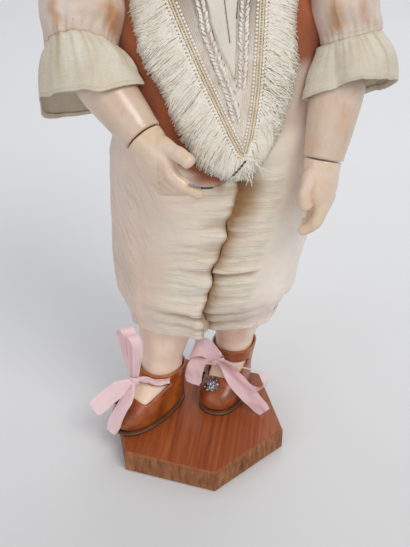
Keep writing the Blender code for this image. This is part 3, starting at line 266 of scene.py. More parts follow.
def capped(name, grid, look):
    """A closed solid from rings, with a fan over each end."""
    grid = np.asarray(grid, float)
    rows, count = grid.shape[:2]
    points = np.vstack([grid.reshape(-1, 3), grid[0].mean(0)[None], grid[-1].mean(0)[None]])
    faces = grid_faces(rows, count, True)
    first = rows * count
    last = (rows - 1) * count
    for i in range(count):
        j = (i + 1) % count
        faces.append([first, j, i])
        faces.append([first + 1, last + i, last + j])
    return make_mesh(name, points, faces, look)


def tube_rings(path, radius, count, hint, flat=1.0):
    path = np.asarray(path, float)
    radius = np.broadcast_to(np.asarray(radius, float), len(path))
    side = np.asarray(hint, float)
    angles = turns(count)
    rings = []
    for place, along, size in zip(path, headings(path), radius):
        across, side, along = axes_along(along, side)
        spokes = np.outer(np.cos(angles), across) * flat + np.outer(np.sin(angles), side)
        rings.append(place + size * spokes)
    return np.array(rings)


def join_parts(name, parts, look):
    """One mesh from several sets of points and faces."""
    points = []
    faces = []
    total = 0
    for p, f in parts:
        points.append(np.asarray(p, float).reshape(-1, 3))
        faces += [[total + v for v in face] for face in f]
        total += len(points[-1])
    return make_mesh(name, np.vstack(points), faces, look)


def tube_part(path, radius, count, hint, flat=1.0):
    return capped_part(tube_rings(path, radius, count, hint, flat))


def lathe(name, rows, centre, direction, look, count, steps):
    """A turned solid with a smooth outline through the rows of radius and distance."""
    rows = curve_through(rows, steps)
    across, side, along = axes_along(direction)
    angles = turns(count)
    spokes = np.outer(np.cos(angles), across) + np.outer(np.sin(angles), side)
    grid = np.asarray(centre) + rows[:, 0, None, None] * spokes[None] + rows[:, 1, None, None] * along
    return capped(name, grid, look)


def bake(piece):
    """Replace a piece's mesh by the result of its modifiers."""
    graph = bpy.context.evaluated_depsgraph_get()
    mesh = bpy.data.meshes.new_from_object(piece.evaluated_get(graph))
    piece.modifiers.clear()
    piece.data = mesh
    mesh.polygons.foreach_set("use_smooth", np.ones(len(mesh.polygons), bool))


def cut(piece, tools):
    """Take the tools' shapes out of a piece."""
    for tool in tools:
        step = piece.modifiers.new("cut", "BOOLEAN")
        step.solver = "EXACT"
        step.object = tool
    bake(piece)
    for tool in tools:
        bpy.data.objects.remove(tool)


@contextmanager
def edited(piece):
    """The piece's mesh for editing, written back at the end."""
    work = bmesh.new()
    work.from_mesh(piece.data)
    yield work
    work.to_mesh(piece.data)
    work.free()


def dress(piece, body, slot, *nodes):
    """A piece that rides on one body and stands for these nodes of the record."""
    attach(piece, body)
    if nodes:
        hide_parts(*nodes)


def bend(piece, first, second, start, end, slot, node):
    """Bake a soft piece's place into its mesh and hide the node it stands for; first, second and slot are not
    used.
    """
    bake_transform(piece)
    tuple(start)
    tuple(end)
    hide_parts(node)


# Materials

def srgb(*values):
    values = np.asarray(values, float) / 255
    return tuple(np.where(values <= 0.04045, values / 12.92, ((values + 0.055) / 1.055) ** 2.4))


class Look:
    """A small helper around one material's nodes."""

    def __init__(self, name, rough, **sockets):
        self.made = bpy.data.materials.new(name)
        self.made.use_nodes = True
        self.tree = self.made.node_tree
        self.shader = self.tree.nodes["Principled BSDF"]
        self.shader.inputs["Roughness"].default_value = rough
        for socket, value in sockets.items():
            self.shader.inputs[socket.replace("_", " ")].default_value = value

    def node(self, kind, inputs=(), **settings):
        made = self.tree.nodes.new(kind)
        for key, value in settings.items():
            setattr(made, key, value)
        for key, value in dict(inputs).items():
            if isinstance(value, bpy.types.NodeSocket):
                self.tree.links.new(value, made.inputs[key])
            else:
                made.inputs[key].default_value = value
        return made

    def place(self, kind="Object", scale=(1, 1, 1), lean=0.0):
        """Texture places, turned by lean degrees before they are stretched."""
        spot = self.node("ShaderNodeTexCoord").outputs[kind]
        if lean:
            turn = (0.0, 0.0, math.radians(lean))
            spot = self.node("ShaderNodeMapping", {"Vector": spot, "Rotation": turn}).outputs[0]
        return self.node("ShaderNodeMapping", {"Vector": spot, "Scale": scale}).outputs[0]

    def noise(self, place, scale, detail=3.0, rough=0.5, bend=0.0):
        return self.node("ShaderNodeTexNoise", {"Vector": place, "Scale": scale, "Detail": detail,
                                                "Roughness": rough, "Distortion": bend}).outputs["Fac"]

    def grain(self, scale, detail, rough, bend=0.0, lean=0.0, kind="UV"):
        """Noise that is stretched by a scale of its own along each axis."""
        return self.noise(self.place(kind, scale, lean), 1.0, detail, rough, bend)

    def ramp(self, value, *stops):
        made = self.node("ShaderNodeValToRGB", {"Fac": value})
        ramp = made.color_ramp
        while len(ramp.elements) < len(stops):
            ramp.elements.new(0.5)
        for element, (spot, colour) in zip(ramp.elements, stops):
            element.position = spot
            element.color = (*colour, 1.0) if hasattr(colour, "__len__") else (colour, colour, colour, 1.0)
        return made.outputs["Color"]

    def mix(self, share, first, second, way="MIX"):
        made = self.node("ShaderNodeMix", data_type="RGBA", blend_type=way)
        for socket, value in ((made.inputs[0], share), (made.inputs[6], first), (made.inputs[7], second)):
            if isinstance(value, bpy.types.NodeSocket):
                self.tree.links.new(value, socket)
            elif hasattr(value, "__len__"):
                socket.default_value = (*value[:3], 1.0)
            else:
                socket.default_value = value
        return made.outputs[2]

    def math(self, way, first, second=0.0):
        return self.node("ShaderNodeMath", {0: first, 1: second}, operation=way).outputs[0]

    def attribute(self, name):
        return self.node("ShaderNodeAttribute", attribute_name=name).outputs["Fac"]

    def give(self, socket, value):
        self.tree.links.new(value, self.shader.inputs[socket])

    def bump(self, *layers):
        """Stack bumps given as (height, strength, distance in metres)."""
        last = None
        for height, strength, distance in layers:
            inputs = {"Height": height, "Strength": strength, "Distance": distance}
            if last is not None:
                inputs["Normal"] = last
            last = self.node("ShaderNodeBump", inputs).outputs[0]
        self.give("Normal", last)


def skin_look(name, base, warm, deep):
    """Painted composition under old varnish: blotches, specks, painted shade in the creases and a glossy
    coat.
    """
    look = Look(name, 0.34, Coat_Weight=0.5, Coat_Roughness=0.2, Specular_IOR_Level=0.45)
    spot = look.place()
    blotch = look.noise(spot, 70.0, 4.0, 0.55)
    colour = look.ramp(blotch, (0.34, srgb(*base)), (0.70, srgb(*warm)))
    streak = look.noise(look.place(scale=(1, 1, 0.35)), 260.0, 5.0, 0.6)
    colour = look.mix(look.ramp(streak, (0.56, 0.0), (0.80, 0.55)), colour, srgb(*deep))
    speck = look.noise(spot, 1150.0, 2.0, 0.4)
    colour = look.mix(look.ramp(speck, (0.74, 0.0), (0.80, 0.75)), colour, srgb(120, 74, 48))
    # Darker in the creases: painted shade, with some crevice dirt
    crease_shade = look.node("ShaderNodeNewGeometry").outputs["Pointiness"]
    colour = look.mix(look.ramp(crease_shade, (0.40, 0.75), (0.50, 0.0)), colour, srgb(150, 88, 50))
    look.give("Base Color", colour)
    look.give("Roughness", look.ramp(streak, (0.3, 0.26), (0.8, 0.44)))
    look.bump((look.noise(spot, 420.0, 3.0), 0.12, 0.0006), (speck, 0.06, 0.0003))
    return look.made


def weave(look, pitch, gap):
    """What all the cloth shares: threads both ways, the shade between them, creases and patches of tone."""
    weft = look.grain((14, pitch, 1), 3.0, 0.6)
    warp = look.grain((pitch, 14, 1), 3.0, 0.6)
    threads = look.math("ADD", weft, warp)
    shade = look.ramp(look.math("MULTIPLY", threads, 0.5), (0.36, gap), (0.60, 1.0))
    return threads, shade, look.grain((16, 34, 1), 4.0, 0.6, 0.6), look.grain((3.2, 3.2, 1), 4.0, 0.55)


def cloth_look(name, pale, tint, rough, slub, sheen, attribute=None, pitch=700.0, **sockets):
    """Thin crinkled cloth in two tones, the second also where an attribute is painted."""
    look = Look(name, rough, Sheen_Weight=sheen, Sheen_Roughness=0.45, Specular_IOR_Level=0.25, **sockets)
    threads, shade, crease, tone = weave(look, pitch, 0.82)
    share = look.ramp(tone, (0.36, 0.0), (0.66, 1.0))
    if attribute:
        share = look.math("ADD", look.math("MULTIPLY", share, 0.45), look.attribute(attribute))
    colour = look.mix(share, srgb(*pale), srgb(*tint))
    look.give("Base Color", look.mix(0.55 * slub, colour, shade, "MULTIPLY"))
    look.bump((crease, 0.30, 0.0012), (threads, 0.35 * slub, 0.0003))
    return look.made


def romper_look():
    """Crinkled cloth over a rosy lining, cream at the gathers, with painted shade in an apricot band beside
    the fringe, in pleat lines, hollows and the seam, and a patch of painted light.
    """
    look = Look("cloth_romper", 0.74, Sheen_Weight=0.2, Sheen_Roughness=0.45, Specular_IOR_Level=0.25)
    threads, shade, crease, tone = weave(look, 520, 0.84)
    pleat = look.grain((6, 58, 1), 4.0, 0.62, 0.5)
    slant = look.grain((58, 5, 1), 4.0, 0.62, 0.3, -32.0)
    gather = look.attribute("gather")
    slub = look.attribute("slub")
    share = look.math("MULTIPLY", look.ramp(tone, (0.36, 0.0), (0.66, 1.0)), 0.4)
    share = look.math("ADD", share, look.attribute("tint_and_shade"))
    colour = look.mix(share, srgb(234, 225, 207), srgb(236, 212, 197))
    # A paler, rosier patch of painted light, laid where the pale attribute is painted
    pale = look.mix(share, srgb(253, 249, 240), srgb(253, 238, 228))
    colour = look.mix(look.attribute("pale"), colour, pale)
    # The apricot band is the lining's colour under painted shade, where the cloth lies in shadow between
    # fringe, sleeve and hand
    apricot = look.mix(look.ramp(tone, (0.40, 0.0), (0.62, 1.0)), srgb(150, 88, 60), srgb(178, 100, 64))
    colour = look.mix(look.attribute("painted_apricot_shade"), colour, apricot)
    # Dark lines along the gathered pleats are painted shade of the pleats; the slanting streaks are slubs in
    # the cloth
    line = look.math("MULTIPLY", look.ramp(pleat, (0.34, 1.0), (0.50, 0.0)), gather)
    streak = look.math("MULTIPLY", look.ramp(slant, (0.34, 1.0), (0.50, 0.0)), slub)
    pleat_shade_and_slubs = look.math("MAXIMUM", look.math("MULTIPLY", line, 0.42), look.math("MULTIPLY", streak, 0.5))
    colour = look.mix(pleat_shade_and_slubs, colour, srgb(190, 172, 144))
    # Painted shade in the hollows of the folds, along the seam and in the recess beside it
    colour = look.mix(look.attribute("crease_shade"), colour, srgb(158, 118, 74))
    look.give("Base Color", look.mix(0.45, colour, shade, "MULTIPLY"))
    look.bump((crease, 0.25, 0.0012), (look.math("MULTIPLY", pleat, gather), 0.55, 0.0016),
              (look.math("MULTIPLY", slant, slub), 0.5, 0.0014), (threads, 0.28, 0.0003))
    return look.made


def thread_look(name, pale, tint, scale=900.0, rough=0.62, neck_shade=0.0):
    """Silk thread: fine streaks, tones that change from strand to strand, painted shade near the neck."""
    look = Look(name, rough, Sheen_Weight=0.35, Sheen_Roughness=0.4, Specular_IOR_Level=0.35)
    spot = look.place()
    tone = look.noise(spot, 130.0, 3.0, 0.6)
    fine = look.noise(spot, scale, 3.0, 0.6)
    colour = look.ramp(tone, (0.32, srgb(*tint)), (0.66, srgb(*pale)))
    colour = look.mix(0.5, colour, look.ramp(fine, (0.30, 0.72), (0.62, 1.0)), "MULTIPLY")
    if neck_shade:
        # Painted shade: the band is darker above a height near the neck
        high = look.node("ShaderNodeSeparateXYZ", {0: spot}).outputs[2]
        colour = look.mix(look.ramp(high, (0.262, 0.0), (0.288, neck_shade)), colour, srgb(150, 136, 120))
    look.give("Base Color", colour)
    look.bump((fine, 0.4, 0.0004))
    return look.made


def leather_look(name, base, light, dark, rough):
    look = Look(name, rough, Coat_Weight=0.35, Coat_Roughness=0.2, Specular_IOR_Level=0.5)
    spot = look.place()
    tone = look.noise(spot, 55.0, 4.0, 0.6)
    colour = look.ramp(tone, (0.30, srgb(*dark)), (0.52, srgb(*base)), (0.74, srgb(*light)))
    edge = look.node("ShaderNodeNewGeometry").outputs["Pointiness"]
    colour = look.mix(look.ramp(edge, (0.52, 0.0), (0.60, 0.55)), colour, srgb(*light))
    colour = look.mix(look.ramp(edge, (0.42, 0.7), (0.49, 0.0)), colour, srgb(*dark))
    grain = look.node("ShaderNodeTexVoronoi", {"Vector": spot, "Scale": 1400.0}).outputs["Distance"]
    wear = look.noise(spot, 300.0, 5.0, 0.65)
    look.give("Base Color", colour)
    look.give("Roughness", look.ramp(wear, (0.35, rough - 0.1), (0.75, rough + 0.18)))
    look.bump((wear, 0.16, 0.0006), (grain, 0.10, 0.0003))
    return look.made


def metal_look(name, base, dark, rough):
    look = Look(name, rough, Metallic=1.0)
    spot = look.place()
    tarnish = look.noise(spot, 240.0, 5.0, 0.65)
    look.give("Base Color", look.ramp(tarnish, (0.38, srgb(*dark)), (0.62, srgb(*base))))
    look.give("Roughness", look.ramp(tarnish, (0.3, rough + 0.25), (0.7, rough)))
    look.bump((look.noise(spot, 900.0, 3.0), 0.10, 0.0003))
    return look.made


WOOD_LEAN = 8.0  # degrees that the board's grain is turned


def wood_look():
    """Waxed board: fine long grain on top, paler rough-sawn sides."""
    look = Look("wood_board", 0.46, Coat_Weight=0.12, Coat_Roughness=0.35, Specular_IOR_Level=0.4)
    long_grain = look.grain((420, 10, 60), 5.0, 0.66, 0.3, WOOD_LEAN, "Object")
    pores = look.grain((1300, 50, 300), 3.0, 0.6, 0.0, WOOD_LEAN, "Object")
    bands = look.grain((60, 6, 20), 3.0, 0.5, 0.6, WOOD_LEAN, "Object")
    top = look.ramp(long_grain, (0.28, srgb(122, 56, 24)), (0.50, srgb(158, 80, 37)),
                    (0.74, srgb(188, 106, 56)))
    top = look.mix(look.ramp(bands, (0.35, 0.0), (0.7, 0.35)), top, srgb(142, 68, 32))
    top = look.mix(look.ramp(pores, (0.60, 0.0), (0.74, 0.6)), top, srgb(92, 44, 22))
    saw = look.grain((330, 330, 70), 5.0, 0.7, 0.3, kind="Object")
    coarse = look.grain((90, 90, 110), 5.0, 0.65, kind="Object")
    side = look.ramp(saw, (0.30, srgb(84, 48, 26)), (0.48, srgb(148, 92, 54)), (0.72, srgb(184, 128, 82)))
    side = look.mix(look.ramp(coarse, (0.42, 0.0), (0.68, 0.7)), side, srgb(120, 70, 40))
    normal = look.node("ShaderNodeNewGeometry").outputs["Normal"]
    up = look.node("ShaderNodeSeparateXYZ", {0: normal}).outputs[2]
    look.give("Base Color", look.mix(look.ramp(up, (0.45, 0.0), (0.85, 1.0)), side, top))
    look.give("Roughness", look.ramp(up, (0.45, 0.78), (0.9, 0.42)))
    rough_side = look.math("MULTIPLY", coarse, look.ramp(up, (0.45, 1.0), (0.85, 0.0)))
    look.bump((long_grain, 0.18, 0.0005), (pores, 0.20, 0.0003), (saw, 0.22, 0.0006),
              (rough_side, 0.5, 0.0014))
    return look.made


def plain_noise_look(name, first, second, scale, rough, depth=0.0004, **sockets):
    look = Look(name, rough, **sockets)
    spot = look.place()
    tone = look.noise(spot, scale, 5.0, 0.6)
    look.give("Base Color", look.ramp(tone, (0.34, srgb(*first)), (0.66, srgb(*second))))
    look.bump((look.noise(spot, scale * 5, 4.0), 0.35, depth))
    return look.made


def hair_look():
    look = Look("hair_brown", 0.42, Sheen_Weight=0.2, Specular_IOR_Level=0.5)
    strands = look.grain((260, 5, 1), 4.0, 0.65, 0.3)
    locks = look.grain((34, 2, 1), 3.0, 0.6, 0.4)
    colour = look.ramp(strands, (0.30, srgb(44, 26, 16)), (0.52, srgb(92, 58, 36)),
                       (0.74, srgb(140, 96, 62)))
    colour = look.mix(look.ramp(locks, (0.35, 0.55), (0.65, 0.0)), colour, srgb(50, 30, 20))
    look.give("Base Color", colour)
    look.bump((locks, 0.5, 0.0015), (strands, 0.55, 0.0007))
    return look.made


def face_look():
    """Tinted bisque with cheeks, lips, brows and lashes painted where the head's attributes say."""
    look = Look("bisque_face", 0.58, Specular_IOR_Level=0.35, Subsurface_Weight=0.08,
                Subsurface_Radius=(0.004, 0.002, 0.001))
    spot = look.place()
    grain = look.noise(spot, 700.0, 4.0, 0.6)
    tone = look.noise(spot, 45.0, 3.0, 0.5)
    colour = look.ramp(tone, (0.35, srgb(236, 206, 188)), (0.68, srgb(229, 192, 172)))
    for name, tint in (("blush", (222, 138, 122)), ("lips", (178, 72, 66)), ("brows", (104, 68, 44)),
                       ("lashes", (58, 38, 30))):
        colour = look.mix(look.attribute(name), colour, srgb(*tint))
    look.give("Base Color", colour)
    look.bump((grain, 0.10, 0.0003))
    return look.made


def eye_look():
    look = Look("eye_glass", 0.06, Coat_Weight=1.0, Coat_Roughness=0.02)
    spot = look.place()
    spin = look.noise(spot, 1500.0, 3.0, 0.6)
    part = look.attribute("iris")
    colour = look.ramp(part, (0.0, srgb(236, 232, 226)), (0.46, srgb(232, 226, 220)),
                       (0.50, srgb(44, 40, 40)), (0.56, srgb(96, 104, 112)), (0.80, srgb(128, 136, 140)),
                       (0.84, srgb(10, 8, 8)))
    colour = look.mix(0.35, colour, look.ramp(spin, (0.3, 0.6), (0.7, 1.0)), "MULTIPLY")
    look.give("Base Color", colour)
    return look.made


SKIN_ARM = skin_look("skin_arm", (216, 195, 177), (212, 182, 157), (196, 157, 126))
SKIN_HAND = skin_look("skin_hand", (230, 208, 190), (222, 193, 161), (198, 156, 116))
SKIN_LEG = skin_look("skin_leg", (250, 226, 204), (246, 216, 192), (228, 190, 160))
ROMPER = romper_look()
SLEEVE = cloth_look("cloth_sleeve", (226, 212, 200), (196, 148, 110), 0.55, 0.6, 0.3, "tint_and_shade")
GAUZE = cloth_look("cloth_gauze", (231, 225, 209), (190, 166, 124), 0.80, 1.5, 0.20, "hem", 190.0)
PANEL = cloth_look("cloth_panel", (240, 231, 219), (231, 221, 207), 0.78, 1.1, 0.2)
RIBBON = cloth_look("cloth_ribbon", (252, 224, 226), (244, 203, 208), 0.55, 0.5, 0.4, Alpha=0.9)
FRINGE = thread_look("thread_fringe", (252, 247, 236), (243, 234, 216))
BRAID = thread_look("thread_braid", (236, 226, 210), (214, 200, 180), neck_shade=0.6)
SILK = thread_look("thread_silk", (240, 232, 219), (226, 215, 199), 1500.0, 0.5, 0.7)
PUFF = thread_look("thread_puff", (252, 245, 236), (240, 228, 216), 1200.0, 0.5)
CORD = thread_look("thread_cord", (242, 229, 201), (224, 205, 170), 1200.0)
SLIT_SHADE_AND_STITCHES = thread_look("slit_shade_and_stitches", (112, 92, 78), (72, 58, 50), 1200.0)
FLECK = thread_look("thread_fleck", (176, 158, 134), (136, 116, 94), 1200.0)
HIDE = leather_look("leather_upper", (162, 80, 26), (202, 124, 56), (102, 44, 14), 0.34)
SOLE = leather_look("leather_sole", (98, 60, 36), (128, 84, 54), (58, 34, 20), 0.55)
STEEL = metal_look("metal_steel", (176, 174, 168), (96, 88, 78), 0.30)
FACET = metal_look("metal_facet", (214, 214, 216), (92, 92, 98), 0.10)
JET = metal_look("metal_jet", (62, 60, 62), (24, 22, 24), 0.22)
WOOD = wood_look()
CORK = plain_noise_look("cork_grain", (150, 108, 70), (196, 154, 108), 320.0, 0.9)
TURNED = plain_noise_look("wood_turned", (120, 78, 46), (162, 112, 70), 180.0, 0.6)
ELASTIC = thread_look("thread_elastic", (214, 204, 186), (178, 164, 142), 1500.0)
HAIR = hair_look()
FACE = face_look()
EYE = eye_look()


# Camera, light and floor

# The camera is fitted to the base block's corners in the photo, which is 547 pixels high
CAMERA_PLACE = (0.006, -0.414, 0.3743)
CAMERA_TILT = 58.8
FOCAL_PIXELS = 800.0
PHOTO_TALL = 547.0
SENSOR = 36.0
# Name, place, aim, size in metres, power, colour
LAMPS = (("key", (0.55, -0.75, 1.25), (0.0, 0.0, 0.2), 0.7, 8.0, (1.0, 0.97, 0.93)),
         ("fill", (-0.9, -0.9, 0.8), (0.0, 0.0, 0.2), 0.9, 2.2, (0.95, 0.97, 1.0)),
         ("low", (-0.15, -1.3, 0.3), (0.0, 0.0, 0.12), 0.8, 1.1, (1.0, 1.0, 1.0)),
         ("back", (0.3, 0.9, 1.2), (0.0, 0.0, 0.25), 0.8, 2.7, (1.0, 1.0, 1.0)))
# The floor's way back and up, in metres, and its half width
FLOOR_ROWS = ((-3.0, 0.0), (0.7, 0.0), (1.1, 0.02), (1.4, 0.12), (1.6, 0.32), (1.7, 0.6), (1.72, 3.0))
FLOOR_HALF = 3.0


def make_camera():
    data = bpy.data.cameras.new("camera")
    data.sensor_width = SENSOR
    data.lens = FOCAL_PIXELS / PHOTO_TALL * SENSOR
    data.clip_start = 0.01
    camera = bpy.data.objects.new("camera", data)
    camera.location = CAMERA_PLACE
    camera.rotation_euler = (math.radians(CAMERA_TILT), 0.0, 0.0)
    bpy.context.scene.collection.objects.link(camera)
    bpy.context.scene.camera = camera


def make_lamp(name, place, aim, size, power, colour):
    data = bpy.data.lights.new(name, "AREA")
    data.shape = "DISK"
    data.size = size
    data.energy = power
    data.color = colour
    lamp = bpy.data.objects.new(name, data)
    across, side, along = axes_along(np.asarray(aim) - np.asarray(place), (0.0, 0.1, 1.0))
    turn = Matrix(np.column_stack([-across, side, -along]).tolist()).to_4x4()
    lamp.matrix_world = Matrix.Translation(place) @ turn
    bpy.context.scene.collection.objects.link(lamp)


def make_stage():
    look = Look("studio_floor", 0.85)
    # The floor is painted darker towards the front and lighter towards the back: a painted fall-off of light
    deep = look.node("ShaderNodeSeparateXYZ", {0: look.place(scale=(1.0, 0.8, 1.0))}).outputs[1]
    tone = look.math("MULTIPLY", look.noise(look.place(), 1.6, 2.0, 0.4), 0.04)
    spot = look.math("ADD", look.math("ADD", deep, 0.18), tone)
    look.give("Base Color", look.ramp(spot, (0.10, (0.70, 0.705, 0.715)), (0.36, (0.88, 0.885, 0.895)),
                                      (0.60, (0.94, 0.945, 0.96)), (0.95, (0.97, 0.975, 0.985))))
    rows = [[(x, y, z) for x in np.linspace(-FLOOR_HALF, FLOOR_HALF, 9)] for y, z in FLOOR_ROWS]
    floor = surface("studio_floor", np.array(rows) / MM, look.made)
    world = bpy.data.worlds.new("studio")
    world.use_nodes = True
    sky = world.node_tree.nodes["Background"].inputs
    sky["Color"].default_value = (*srgb(236, 238, 242), 1.0)
    sky["Strength"].default_value = 0.56
    bpy.context.scene.world = world
    for lamp in LAMPS:
        make_lamp(*lamp)
    bpy.context.scene.view_settings.view_transform = "Standard"


# Romper: one surface from the bodice to the gathered hems, cut in pieces where the doll bends

# Height above the romper's top, and shares of its width and depth there
BODICE_ROWS = np.array(((0, 1.0, 1.0), (12, 0.92, 0.99), (27, 0.80, 0.97), (42, 0.74, 0.945),
                        (62, 0.74, 0.92), (85, 0.742, 0.87), (105, 0.742, 0.79), (120, 0.742, 0.71),
                        (132, 0.72, 0.63), (140, 0.61, 0.55), (146, 0.44, 0.50), (149, 0.365, 0.48)))
CHEST_SHARE = 0.742
SQUARE = 2.4  # how square a level of the romper is; 2 is an ellipse
ROUND = 2 / SQUARE
BODICE_FULL = {-1: 6.0, 1: 16.0}
# How much narrower each leg gets at its hem and above it
TAPER = {-1: (7.0, 0.0), 1: (10.0, 8.0)}
# Tucks across the seam near the hem: height and depth
TUCKS = {-1: ((106.0, 2.0), (98.5, 1.3)), 1: ((106.0, 1.0), (98.5, 1.3))}
# Heights in metres at the hip and the knee, given to bend with each leg piece
HIP_BLEND = {-1: (0.198, 0.150), 1: (0.190, 0.140)}
KNEE_BLEND = (0.134, 0.104)


def bodice_size(height):
    """Middle, half width and half depth of the bodice at a height."""
    rise = height - ROMPER_TOP
    share = smooth(0.0, 62.0, rise)
    wide = np.interp(rise, BODICE_ROWS[:, 0], BODICE_ROWS[:, 1])
    wide = wide * ((1 - share) * ROMPER_WIDE + share * BODICE_WIDE / CHEST_SHARE)
    deep = np.interp(rise, BODICE_ROWS[:, 0], BODICE_ROWS[:, 2]) * ROMPER_DEEP
    middle = ROMPER_X + (CENTRE_X - ROMPER_X) * share
    back = CENTRE_Y + (NECK_Y - CENTRE_Y) * smooth(128, 146, rise)
    return middle, back, wide, deep


def fullness(side, height):
    """How far the loose bodice stands off at the side, between the waist and the armhole."""
    rise = smooth(ROMPER_TOP - 4, ROMPER_TOP + 34, height)
    return BODICE_FULL[side] * rise * smooth(308, 262, height)


def bodice_front(x, height):
    """Where the full bodice lies, front to back, at a place seen from the front."""
    middle, back, wide, deep = bodice_size(max(height, ROMPER_TOP))
    share = np.linspace(0, 0.985, 50)
    reach = share * wide + fullness(1 if x > middle else -1, height) * smooth(0.40, 0.97, share)
    share = np.interp(abs(x - middle), reach, share)
    return back - deep * (1 - share ** SQUARE) ** (1 / SQUARE)


def romper_size(side, height):
    """Middle, half width and half depth of the romper at a height."""
    if height >= ROMPER_TOP:
        return bodice_size(height)
    t = (ROMPER_TOP - height) / (ROMPER_TOP - HEM_Z)
    tuck = smooth(0.74, 1.0, t)
    hem, leg = TAPER[side]
    wide = ROMPER_WIDE * (1.0 + 0.02 * math.sin(math.pi * t)) - hem * tuck ** 1.4
    wide = wide - leg * smooth(0.25, 0.8, t)
    leg_y = KNEE[side][1] * 0.65 + ANKLE[side][1] * 0.35 - CENTRE_Y
    deep = ROMPER_DEEP * (1.0 - 0.22 * smooth(0.8, 1.0, t))
    return ROMPER_X, CENTRE_Y + leg_y * tuck, wide, deep


def seam_x(height):
    """Where the front seam lies, with a little wander below the bodice."""
    t = (ROMPER_TOP - height) / (ROMPER_TOP - HEM_Z)
    wander = 0.9 * math.sin(height / 4.7) + 0.6 * math.sin(height / 2.3 + 1.0)
    wander = wander * smooth(JOIN_Z, JOIN_Z - 14, height)
    return ROMPER_X + 13.0 - 19.0 * smooth(0.0, 0.95, t) + float(wander)


def level_angle(off, wide):
    """The angle on a level's outline at a sideways distance from its middle."""
    return math.copysign(math.asin(min((abs(off) / wide) ** (1 / ROUND), 1.0)), off)


def below_join(height):
    """0 on the bodice and 1 on the legs."""
    return smooth(JOIN_Z, JOIN_Z - 16, height)


def romper_outline(side, height, count):
    """Half a level of the romper without folds, the way out at each place, and its turn round the body."""
    middle, middle_y, wide, deep = romper_size(side, height)
    first = level_angle((seam_x(height) + side * LOOSE * 0.5 - middle) * side, wide)
    last = math.pi - level_angle((CENTRE_X + side * BACK_GAP - middle) * side, wide)
    share = np.linspace(0, 1, count)
    angle = first + (last - first) * (0.35 * share ** 2 + 0.65 * share)
    x = middle + side * wide * signed_power(np.sin(angle), ROUND)
    x = x + side * fullness(side, height) * smooth(0.40, 0.97, (x - middle) * side / wide)
    y = middle_y - deep * signed_power(np.cos(angle), ROUND)
    ring = np.column_stack([x, y, np.full(count, float(height))])
    out = np.column_stack([(x - middle) / wide ** 2, (y - middle_y) / deep ** 2, np.zeros(count)])
    out /= np.linalg.norm(out, axis=1)[:, None] + 1e-9
    return ring, out, angle * side


def seam_folds(side, height, run):
    """Puckers and tucks beside the front seam, and how close to it each place is."""
    if side < 0:
        sway = height + 2.4 * noise(run / 15, height / 22, side * 2.3, seed=1)
        near = bell(run, 0, 27)
        fine = 0.7 * noise(run / 24, sway / 2.9, seed=2) + 0.5 * noise(run / 15, sway / 1.8, seed=3)
        fine = (fine + 1.5 * noise(run / 36, sway / 7.5, seed=4)) * near - 1.1 * bell(run, 0, 2.2)
    else:
        near = 1 - smooth(22, 29, run)
        fine = 0.75 * noise(run / 60, height / 2.1, seed=2) + 0.8 * noise(run / 70, height / 5.5, seed=3)
        lift = height - 0.05 * run
        fine = fine * near + (1.7 * bell(lift, 137.5, 1.3) - 1.5 * bell(lift, 134.6, 1.3)) * near
        fine -= 2.2 * bell(run, 0, 5.0)
    lift = height - 0.07 * run
    reach = bell(run, 0, 27 if side < 0 else 34, 4)
    for level, depth in TUCKS[side]:
        fine += depth * reach * (0.8 * bell(lift - level, 3.4, 2.0) - bell(lift, level, 1.3))
    return fine * below_join(height), near


def slack_folds(side, height, run, turn):
    """Yield the loose folds of the whole garment one after another."""
    if side > 0:
        yield -5.0 * bell(run, 0, 17) * smooth(148, 190, height) * smooth(209, 200, height)
    yield 1.3 * noise(turn * 2.6, height / 95, seed=4) * smooth(250, 190, height)
    yield 0.9 * noise(turn * 7.0 + height / 160, height / 70, seed=5) * smooth(240, 150, height)
    slant = run * 0.8 + (height - 150) * 0.55 * side
    yield 0.55 * noise(slant / 9.0, height / 55, seed=6) * smooth(25, 60, run)
    yield 0.7 * noise(run / 4.2, height / 34, seed=7) * smooth(128, 98, height)
    yield 0.2 * noise(run / 3.0, height / 3.4, seed=8)
    yield -1.6 * bell(run[-1] - run, 0, 5.0) * below_join(height)


def shade_beside_fringe(height, x, y):
    """How much apricot painted shade lies on the cloth: only in front, beside the fringe, where the rosy
    cloth lies in shadow.
    """
    start = 188.5 + 32.0 * smooth(4, 20, x) + 3.0 * noise((x + CENTRE_X) / 9.0, height / 30, seed=10)
    share = smooth(start - 4, start + 6, np.full(len(x), float(height)))
    left = smooth(16, 32, x) * smooth(CENTRE_Y + 8, CENTRE_Y - 12, y)
    share = share * (1 - 0.62 * left * smooth(259, 249, height))
    border = np.interp(height - ROMPER_TOP, (-2, 4, 20, 45, 58), (8, -3, -15, -25.5, -70)) - 15.0
    share = share * smooth(border - 9, border + 3, x)
    return share * smooth(CENTRE_Y + 12, CENTRE_Y - 10, y) * smooth(318, 290, height)


